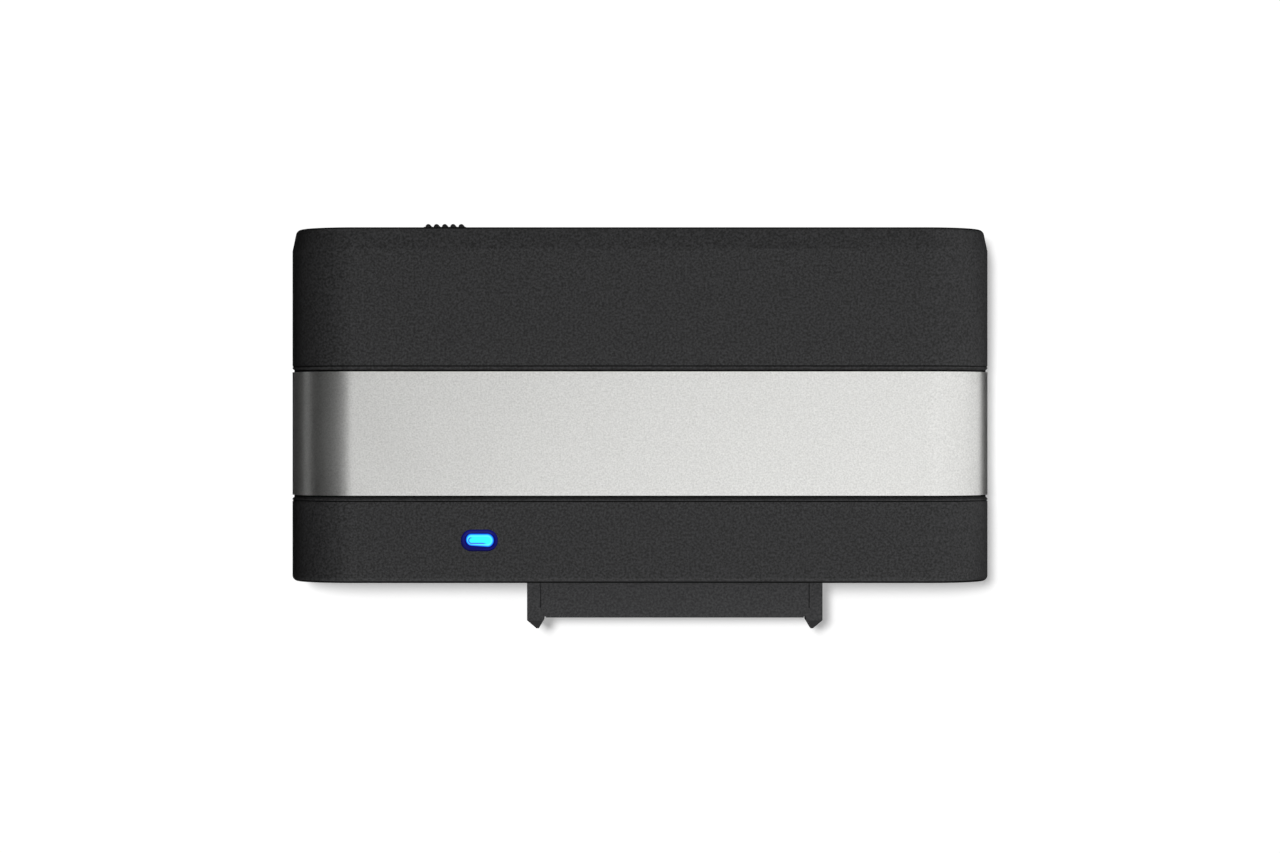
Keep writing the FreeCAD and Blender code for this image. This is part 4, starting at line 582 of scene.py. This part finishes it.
def outward(point):
    """The direction out of the section, found from how the depth changes."""
    small = 0.05 * MM
    across = skin_depth(point - Vector((small, 0, 0))) - skin_depth(point + Vector((small, 0, 0)))
    up = skin_depth(point - Vector((0, 0, small))) - skin_depth(point + Vector((0, 0, small)))
    return Vector((across, 0, up)).normalized()


def past_band(point):
    """How far a point lies past the nearer long edge of the band, in millimetres."""
    return max(point.y / MM - rear_gap, front_gap - point.y / MM)


def close_up_gaps(work):
    """Brings the fine lines to their place and raises the recess floor in the two gaps beside the band."""
    for vert in work.verts:
        depth = skin_depth(vert.co)
        if depth < LINE_DEEP and LINE_NEAR < past_band(vert.co) < LINE_FAR:
            vert.co.y += LINE_SHIFT_FRONT * MM if vert.co.y < 0 else -LINE_SHIFT_REAR * MM
        if LINE_SHALLOW < depth < LINE_DEEP and LINE_NEAREST < past_band(vert.co) < LINE_FAR:
            fade = min(1.0, max(0.0, (abs(vert.co.x) - SIDE) / (LINE_FADE * MM) + 1.0))
            vert.co += outward(vert.co) * LINE_RISE * MM * fade
    for level in (rear_gap, rear_gap + CLEAR, front_gap, front_gap - CLEAR):
        everything = work.verts[:] + work.edges[:] + work.faces[:]
        plane = {"plane_co": (0, level * MM, 0), "plane_no": (0, 1, 0), "dist": 0.001 * MM}
        bmesh.ops.bisect_plane(work, geom=everything, **plane)
    raised = 0
    for vert in work.verts:
        in_gap = CLOSE < past_band(vert.co) < GAP_WIDE + CLOSE
        if in_gap and abs(skin_depth(vert.co) - RECESS) < 0.03 * MM:
            vert.co += outward(vert.co) * STEP
            raised += 1
    print("points of the gap's floor raised:", raised)


print("the step leaves each gap", round((RECESS - STEP) / MM, 2), "mm deep")

# %% [markdown]
# A cover has three finishes. The skin is textured. The recess, the fine lines beside it and the joint have
# little texture and get painted shade, a near black colour for the shadow they lie in. The outer half of the
# rounded front and rear edges is smoother, where the tool parts, and gets painted shade too: a near black
# that draws the dark outline there.

# %% Make the covers
# A near black with little texture for the recess, the fine lines and the joint: painted shade.
groove_shade_plastic, tree, shader = new_finish("Black ABS, painted groove shade", "#060606", 0.5, 1.53, 0.1)
grain(tree, shader, 0.4 * MM, 0.01 * MM, (0.45, 0.55))
# Smoother, and near black: painted shade that draws the dark outline along the front and rear rims.
rim_shade_finish, tree, shader = new_finish("Black ABS, rim edge with painted shade", "#0A0A0A", 0.34, 1.53, 0.12)
grain(tree, shader, 0.4 * MM, 0.006 * MM, (0.30, 0.38))
LINE_AT = 0.95
LINE_WIDE = 0.18
rear_line = rear_gap + LINE_AT - LINE_SHIFT_REAR
front_line = front_gap - LINE_AT + LINE_SHIFT_FRONT
GROOVES = [
    (front_gap - 0.25, rear_gap + 0.25),
    (rear_line, rear_line + LINE_WIDE),
    (front_line - LINE_WIDE, front_line),
]
SEAM_LOW, SEAM_HIGH = 10.99 * MM, 11.21 * MM
RIM_FRONT, RIM_REAR = -21.4 * MM, 27.4 * MM
TAPER_Y = 25.3 * MM
for node, name in (("top_cover", "UpperCover"), ("bottom_cover", "LowerCover")):
    cover = smooth_copy(node, name, case_plastic, 30.0, TAPER_Y, close_up_gaps)
    cover.data.materials.append(groove_shade_plastic)
    cover.data.materials.append(rim_shade_finish)
    for face in cover.data.polygons:
        middle = face.center
        sunk = skin_depth(middle) > 0.01 * MM
        in_groove = sunk and any(low * MM < middle.y < high * MM for low, high in GROOVES)
        in_seam = SEAM_LOW < middle.z < SEAM_HIGH
        past_lid = not RIM_FRONT < middle.y < RIM_REAR
        on_rim = past_lid and abs(face.normal.y) > 0.66 and face.normal.z > 0.12
        # Painted shade: faces in the grooves and the joint take the near black finish, and faces on the rim
        # the dark rim finish.
        if in_groove or in_seam:
            face.material_index = 1
        elif on_rim:
            face.material_index = 2
    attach(cover, "case")

# %% [markdown]
# ## The band
#
# The band is one strip of sheet, bent round the case: over the lid, down both sides and under, ending in
# two short toes. That is a shape with a rule: a cross section carried along a path with rounded corners.
# So it is a Geometry Nodes tree. The path starts as six corner points, Fillet Curve rounds each by its own
# radius, and the bevelled section of the strip is swept along it. The bevels are picked out by their faces'
# direction and get the bright-cut finish.


# %% Helpers for a tree of nodes
def new_tree(name):
    """An empty tree that takes a geometry and gives one."""
    tree = bpy.data.node_groups.new(name, "GeometryNodeTree")
    for way in ("INPUT", "OUTPUT"):
        tree.interface.new_socket(name="Geometry", in_out=way, socket_type="NodeSocketGeometry")
    return tree


def named_input(tree, name, kind):
    """Adds a named input to a tree and gives its identifier."""
    return tree.interface.new_socket(name=name, in_out="INPUT", socket_type=kind).identifier


def run_tree(name, points, tree, values, attribute, numbers):
    """Runs a tree on a line whose points carry a number each, and gives the result as a plain mesh object."""
    line = bpy.data.meshes.new(name + "Line")
    line.from_pydata(points, [(i, i + 1) for i in range(len(points) - 1)], [])
    line.attributes.new(attribute, "FLOAT", "POINT").data.foreach_set("value", numbers)
    carrier = bpy.data.objects.new(name + "Line", line)
    bpy.context.scene.collection.objects.link(carrier)
    modifier = carrier.modifiers.new("Rule", "NODES")
    modifier.node_group = tree
    for identifier, value in values.items():
        modifier[identifier] = value
    graph = bpy.context.evaluated_depsgraph_get()
    mesh = bpy.data.meshes.new_from_object(carrier.evaluated_get(graph))
    mesh.name = name
    carrier.modifiers.remove(modifier)
    bpy.data.objects.remove(carrier)
    work = bmesh.new()
    work.from_mesh(mesh)
    bmesh.ops.remove_doubles(work, verts=work.verts, dist=MERGE)
    bmesh.ops.recalc_face_normals(work, faces=work.faces)
    work.to_mesh(mesh)
    work.free()
    piece = bpy.data.objects.new(name, mesh)
    bpy.context.scene.collection.objects.link(piece)
    return piece


def reach_of(piece):
    """The lowest and the highest corner of a piece's mesh, in millimetres."""
    points = [vert.co for vert in piece.data.vertices]
    return [[round(pick(point[i] for point in points) / MM, 3) for i in range(3)] for pick in (min, max)]


# %% Shape the band's section
tree = new_tree("BentBand")
wide_id = named_input(tree, "Strip width", "NodeSocketFloat")
thick_id = named_input(tree, "Sheet thickness", "NodeSocketFloat")
bevel_id = named_input(tree, "Edge bevel width", "NodeSocketFloat")
deep_id = named_input(tree, "Edge bevel depth", "NodeSocketFloat")
steps_id = named_input(tree, "Steps in a bend", "NodeSocketInt")
MORE = {"data_type": "FLOAT", "operation": "GREATER_THAN"}
LESS = {"data_type": "FLOAT", "operation": "LESS_THAN"}
given = add(tree, "NodeGroupInput").outputs
strip = {"Width": given["Strip width"], "Height": given["Sheet thickness"]}
section = add(tree, "GeometryNodeCurvePrimitiveQuadrilateral", strip)
corner = add(tree, "ShaderNodeSeparateXYZ", {0: add(tree, "GeometryNodeInputPosition")}).outputs
outer = add(tree, "FunctionNodeCompare", {0: corner[1], 1: 0.0}, **LESS)
cut = add(tree, "ShaderNodeMath", {0: outer, 1: given["Edge bevel width"]}, operation="MULTIPLY")
chamfer = {"Curve": section, "Radius": cut, "Count": 1}
bevelled = add(tree, "GeometryNodeFilletCurve", chamfer, mode="POLY")
# A corner cut at 45 degrees is too steep, so its lower points are lifted to the bevel's own depth. They are
# the points at half the strip's width that aren't on its inner face. Both shares lie just under a half, so
# that rounding can't lose a point.
ALMOST_HALF_WIDTH = 0.499
ALMOST_HALF_SHEET = 0.49
far_out = add(tree, "ShaderNodeMath", {0: corner[0]}, operation="ABSOLUTE")
wall_line = {0: given["Strip width"], 1: ALMOST_HALF_WIDTH}
wall_line = add(tree, "ShaderNodeMath", wall_line, operation="MULTIPLY")
on_wall = add(tree, "FunctionNodeCompare", {0: far_out, 1: wall_line}, **MORE)
inner_line = {0: given["Sheet thickness"], 1: ALMOST_HALF_SHEET}
inner_line = add(tree, "ShaderNodeMath", inner_line, operation="MULTIPLY")
short_of = add(tree, "FunctionNodeCompare", {0: corner[1], 1: inner_line}, **LESS)
lift_these = add(tree, "FunctionNodeBooleanMath", {0: on_wall, 1: short_of}, operation="AND")
rise = {0: given["Edge bevel depth"], 1: given["Edge bevel width"]}
rise = add(tree, "ShaderNodeMath", rise, operation="SUBTRACT")
lift = {"Geometry": bevelled, "Selection": lift_these, "Offset": add(tree, "ShaderNodeCombineXYZ", {1: rise})}
lifted = add(tree, "GeometryNodeSetPosition", lift)
print("nodes for the section:", len(tree.nodes))

# %% Sweep the section along the path
radius = add(tree, "GeometryNodeInputNamedAttribute", {0: "bend"}, data_type="FLOAT")
path = add(tree, "GeometryNodeMeshToCurve", {0: given["Geometry"]})
rounding = {"Curve": path, "Radius": radius, "Count": given["Steps in a bend"]}
bent = add(tree, "GeometryNodeFilletCurve", rounding, mode="POLY")
sweep = {"Curve": bent, "Profile Curve": lifted, "Fill Caps": True}
solid = add(tree, "GeometryNodeRealizeInstances", {0: add(tree, "GeometryNodeCurveToMesh", sweep)})
# A bevel leans more than a face does and less than an edge wall.
facing = add(tree, "ShaderNodeSeparateXYZ", {0: add(tree, "GeometryNodeInputNormal")})
lean = add(tree, "ShaderNodeMath", {0: facing.outputs[1]}, operation="ABSOLUTE")
more = add(tree, "FunctionNodeCompare", {0: lean, 1: 0.15}, **MORE)
less = add(tree, "FunctionNodeCompare", {0: lean, 1: 0.9}, **LESS)
slope = add(tree, "FunctionNodeBooleanMath", {0: more, 1: less}, operation="AND")
face = add(tree, "GeometryNodeSetMaterial", {"Geometry": solid, "Material": blasted})
bevel = {"Geometry": face, "Material": bright_cut, "Selection": slope}
add(tree, "NodeGroupOutput", {0: add(tree, "GeometryNodeSetMaterial", bevel)})
print("nodes in the band's tree:", len(tree.nodes))

# %% Bend the band
SHEET = 0.6 * MM
BEVEL = 0.2 * MM
BEVEL_DEEP = 0.045 * MM
TOE_END = 43.9 * MM
middle = (BAND_FRONT + BAND_REAR) / 2
half = SHEET / 2
corners = [
    (TOE_END, middle, LOW + half),
    (SIDE - half, middle, LOW + half),
    (SIDE - half, middle, LID - half),
    (half - SIDE, middle, LID - half),
    (half - SIDE, middle, LOW + half),
    (-TOE_END, middle, LOW + half),
]
bends = [0.0, BASE - half, CROWN - half, CROWN - half, BASE - half, 0.0]
values = {
    wide_id: BAND_REAR - BAND_FRONT,
    thick_id: SHEET,
    bevel_id: BEVEL,
    deep_id: BEVEL_DEEP,
    steps_id: 32,
}
band = run_tree("TrimBand", corners, tree, values, "bend", bends)
# A bevel leans by 12.7 degrees, so an edge stays sharp from 12 degrees on.
work = bmesh.new()
work.from_mesh(band.data)
for face in work.faces:
    face.smooth = True
for edge in work.edges:
    edge.smooth = edge.calc_face_angle() < math.radians(12)
work.to_mesh(band.data)
work.free()
print("band mesh:", len(band.data.polygons), "faces, reaches from and to", reach_of(band))
print("band material slots:", [m.name for m in band.data.materials])
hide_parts("trim_band")
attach(band, "case")

# %% [markdown]
# ## The feet
#
# Four pads of cast rubber stand in round seats of the lower cover. A pad is round, so its outline is only a
# radius for each height. That is how it is drawn: a short upright line whose points carry a width. The tree
# sweeps a circle along it, scaled by that width, and sets one pad on each corner of a two by two grid.

# %% Build the feet's tree
tree = new_tree("FootPads")
apart_id = named_input(tree, "Pads apart, left to right", "NodeSocketFloat")
deep_apart_id = named_input(tree, "Pads apart, front to rear", "NodeSocketFloat")
centre_id = named_input(tree, "Middle of the four", "NodeSocketVector")
given = add(tree, "NodeGroupInput").outputs
width = add(tree, "GeometryNodeInputNamedAttribute", {0: "width"}, data_type="FLOAT")
path = add(tree, "GeometryNodeMeshToCurve", {0: given["Geometry"]})
circle = add(tree, "GeometryNodeCurvePrimitiveCircle", {"Resolution": 48, "Radius": 1.0})
sweep = {"Curve": path, "Profile Curve": circle, "Scale": width, "Fill Caps": True}
pad = add(tree, "GeometryNodeCurveToMesh", sweep)
grid = {
    "Vertices X": 2,
    "Vertices Y": 2,
    "Size X": given["Pads apart, left to right"],
    "Size Y": given["Pads apart, front to rear"],
}
places = add(tree, "GeometryNodeMeshGrid", grid)
shift = {"Geometry": places, "Translation": given["Middle of the four"]}
moved = add(tree, "GeometryNodeTransform", shift)
set_out = add(tree, "GeometryNodeInstanceOnPoints", {"Points": moved, "Instance": pad})
solid = add(tree, "GeometryNodeRealizeInstances", {0: set_out})
skin = add(tree, "GeometryNodeSetMaterial", {"Geometry": solid, "Material": rubber})
add(tree, "NodeGroupOutput", {0: skin})
print("nodes in the feet's tree:", len(tree.nodes))

# %% Cast the feet
feet_low, feet_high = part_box("rubber_feet")
FOOT = 4.0 * MM
FOOT_ROUND = 0.5 * MM
STEPS = 6
turns = [math.pi / 2 * i / STEPS for i in range(STEPS + 1)]
levels = [feet_low[2] + FOOT_ROUND * (1 - math.cos(turn)) for turn in turns] + [feet_high[2]]
widths = [FOOT - FOOT_ROUND * (1 - math.sin(turn)) for turn in turns] + [FOOT]
apart = [feet_high[i] - feet_low[i] - 2 * FOOT for i in (0, 1)]
middle = [(feet_high[i] + feet_low[i]) / 2 for i in (0, 1)] + [0.0]
values = {apart_id: apart[0], deep_apart_id: apart[1], centre_id: middle}
line = [(0.0, 0.0, level) for level in levels]
feet = run_tree("RubberFeet", line, tree, values, "width", widths)
# The flat ends stay flat, and the rest is round.
for face in feet.data.polygons:
    face.use_smooth = abs(face.normal.z) < 0.98
print("feet reach from and to", reach_of(feet))
print("and in CAD", [round(c / MM, 3) for c in (*feet_low, *feet_high)])
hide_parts("rubber_feet")
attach(feet, "case")

# %% [markdown]
# ## The switch knob
#
# The knob is one nylon moulding with five round ribs for a fingertip. It is copied and smoothed as the covers
# are, and it rides on the slider, so that it moves with the switch.

# %% Smooth the knob
knob = smooth_copy("switch_knob", "SwitchKnob", nylon, 40.0)
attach(knob, "slider")

# %% [markdown]
# ## The lamp
#
# What glows is the end of a light pipe, moulded in clear blue plastic. A stem and a flange hold it under the
# cover. Its end fills the window: a low flat rim, a shallow groove, and a raised middle that carries the
# light. The rim gets light only from inside, so it shows as deep navy, while the middle is so bright that it
# turns cyan, with pure blue where its edge bends away. Each outline is the same stadium shape at another
# distance from a short straight spine, so the surface is built as a row of rings, and the colours are laid
# out by that same distance.

# %% Measure the light pipe
LAMP = (-22.9 * MM, -16.3 * MM)
LAMP_LONG = 5.3 * MM
LAMP_WIDE = 3.1 * MM
SPINE = (LAMP_LONG - LAMP_WIDE) / 2
STEM = 0.95 * MM
CEILING = LID - 2.0 * MM
FLANGE_THICK = 0.8 * MM
pipe_low, pipe_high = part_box("status_lens")
rim = LAMP_WIDE / 2
flange = (pipe_high[1] - pipe_low[1]) / 2
print("lens in CAD:", [round(c / MM, 3) for c in (*pipe_low, *pipe_high)])


# %% Model the light pipe
def stadium(radius, height, steps=28):
    """Points of a stadium of one radius round the lamp's spine."""
    points = []
    for side, first in ((SPINE, -math.pi / 2), (-SPINE, math.pi / 2)):
        for i in range(steps + 1):
            turn = first + math.pi * i / steps
            x = LAMP[0] + side + radius * math.cos(turn)
            y = LAMP[1] + radius * math.sin(turn)
            points.append((x, y, height))
    return points


# Each row is a distance from the spine and a height: up the stem, round the flange that holds the pipe under
# the cover, and through the window to the middle.
RINGS = [
    (STEM, pipe_low[2]),
    (STEM, CEILING - FLANGE_THICK),
    (flange, CEILING - FLANGE_THICK),
    (flange, CEILING),
    (rim, CEILING),
    (rim, 22.55 * MM),
    (rim - 0.03 * MM, 22.61 * MM),
    (rim - 0.10 * MM, 22.63 * MM),
    (1.06 * MM, 22.63 * MM),
    (1.02 * MM, 22.58 * MM),
    (0.98 * MM, 22.58 * MM),
    (0.95 * MM, 22.66 * MM),
    (0.90 * MM, 22.75 * MM),
    (0.80 * MM, 22.83 * MM),
    (0.62 * MM, 22.87 * MM),
    (0.35 * MM, 22.88 * MM),
]
work = bmesh.new()
rows = [[work.verts.new(point) for point in stadium(radius, height)] for radius, height in RINGS]
for lower, upper in zip(rows, rows[1:]):
    for i in range(len(lower)):
        j = (i + 1) % len(lower)
        work.faces.new((lower[i], lower[j], upper[j], upper[i]))
work.faces.new(rows[-1])
work.faces.new(reversed(rows[0]))
bmesh.ops.recalc_face_normals(work, faces=work.faces)
for face in work.faces:
    face.smooth = True
# The stem and the flange keep sharp edges. What shows in the window is smooth all over.
for edge in work.edges:
    under_cover = all(vert.co.z < CEILING + 0.01 * MM for vert in edge.verts)
    edge.smooth = not under_cover or edge.calc_face_angle() < math.radians(50)
pipe_mesh = bpy.data.meshes.new("LightPipe")
work.to_mesh(pipe_mesh)
work.free()
pipe = bpy.data.objects.new("LightPipe", pipe_mesh)
bpy.context.scene.collection.objects.link(pipe)
print("light pipe:", len(pipe_mesh.polygons), "faces")

# %% [markdown]
# The glow is worked out from the distance to the spine of the stadium. A ramp over that distance gives cyan
# in the middle, a paler rim, pure blue on the bending edge, black in the groove and navy on the outer rim.
# The light behind the pipe sits a little to the upper right, so the blue edge is wider at the lower left,
# where the shadow of the inner edge also shows as a fine curved line.

# %% Measure from the spine
lit, tree, shader = new_finish("Polycarbonate, clear blue, lit from behind", "#06063C", 0.2, 1.58, 0.06)
# Most of the white that the room would put on it is left out by the low specular value, because the camera is
# exposed for the glow.
where = add(tree, "ShaderNodeTexCoord").outputs["Object"]
offset = add(tree, "ShaderNodeVectorMath", {0: where, 1: (*LAMP, 0.0)}, operation="SUBTRACT")
parts = add(tree, "ShaderNodeSeparateXYZ", {0: offset}).outputs
side = add(tree, "ShaderNodeMath", {0: parts[0]}, operation="ABSOLUTE")
beyond = add(tree, "ShaderNodeMath", {0: side, 1: SPINE}, operation="SUBTRACT")
beyond = add(tree, "ShaderNodeMath", {0: beyond, 1: 0.0}, operation="MAXIMUM")
flat = add(tree, "ShaderNodeCombineXYZ", {0: beyond, 1: parts[1]})
reach = add(tree, "ShaderNodeVectorMath", {0: flat}, operation="LENGTH").outputs["Value"]
# How far a point lies to the lower left, in metres.
LOWER_LEFT = (-0.28, -0.5, 0.0)
lean = add(tree, "ShaderNodeVectorMath", {0: offset, 1: LOWER_LEFT}, operation="DOT_PRODUCT")
lean = add(tree, "ShaderNodeMath", {0: lean.outputs["Value"], 1: 0.0}, operation="MAXIMUM")
shifted = add(tree, "ShaderNodeMath", {0: lean, 1: 0.30, 2: reach}, operation="MULTIPLY_ADD")
print("the spine is", round(2 * SPINE / MM, 2), "mm long")

# %% Light the light pipe
GLOW_REACH = 1.6 * MM
GLOW = [
    (0.0, "#3CFFFF"),
    (0.30, "#3CFFFF"),
    (0.40, "#66FFFF"),
    (0.47, "#50E6FF"),
    (0.53, "#1E96FF"),
    (0.585, "#0A50FF"),
    (0.61, "#0620A0"),
    (0.635, "#08042A"),
    (0.67, "#0A0632"),
    (0.72, "#101058"),
    (0.88, "#0E0E62"),
    (0.97, "#0A0A3C"),
]
share = add(tree, "ShaderNodeMapRange", {0: shifted, 1: 0.0, 2: GLOW_REACH})
glow = add(tree, "ShaderNodeValToRGB", {0: share})
points = glow.color_ramp.elements
points.remove(points[-1])
for i, (place, swatch) in enumerate(GLOW):
    point = points[0] if i == 0 else points.new(place)
    point.position = place
    point.color = linear(swatch)
# The fine curved line: a narrow ring, kept only at the left and below.
RING = 0.42 * MM
ring = add(tree, "ShaderNodeMath", {0: reach, 1: RING}, operation="SUBTRACT")
ring = add(tree, "ShaderNodeMath", {0: ring}, operation="ABSOLUTE")
ring = add(tree, "ShaderNodeMapRange", {0: ring, 1: 0.05 * MM, 2: 0.11 * MM, 3: 1.0, 4: 0.0})
BELOW = (-0.42, -1.0, 0.0)
below = add(tree, "ShaderNodeVectorMath", {0: offset, 1: BELOW}, operation="DOT_PRODUCT")
below = add(tree, "ShaderNodeMapRange", {0: below.outputs["Value"], 1: 0.0, 2: 0.16 * MM})
kept = add(tree, "ShaderNodeMath", {0: ring, 1: below}, operation="MULTIPLY")
drawn = add(tree, "ShaderNodeMix", {0: kept, 6: glow, 7: linear("#4646FF")}, data_type="RGBA")
tree.links.new(drawn.outputs[2], shader.inputs["Emission Color"])
shader.inputs["Emission Strength"].default_value = 1.0
grain(tree, shader, 0.3 * MM, 0.002 * MM)
pipe_mesh.materials.append(lit)
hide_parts("status_lens")
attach(pipe, "case")
print("glow colours:", len(GLOW))
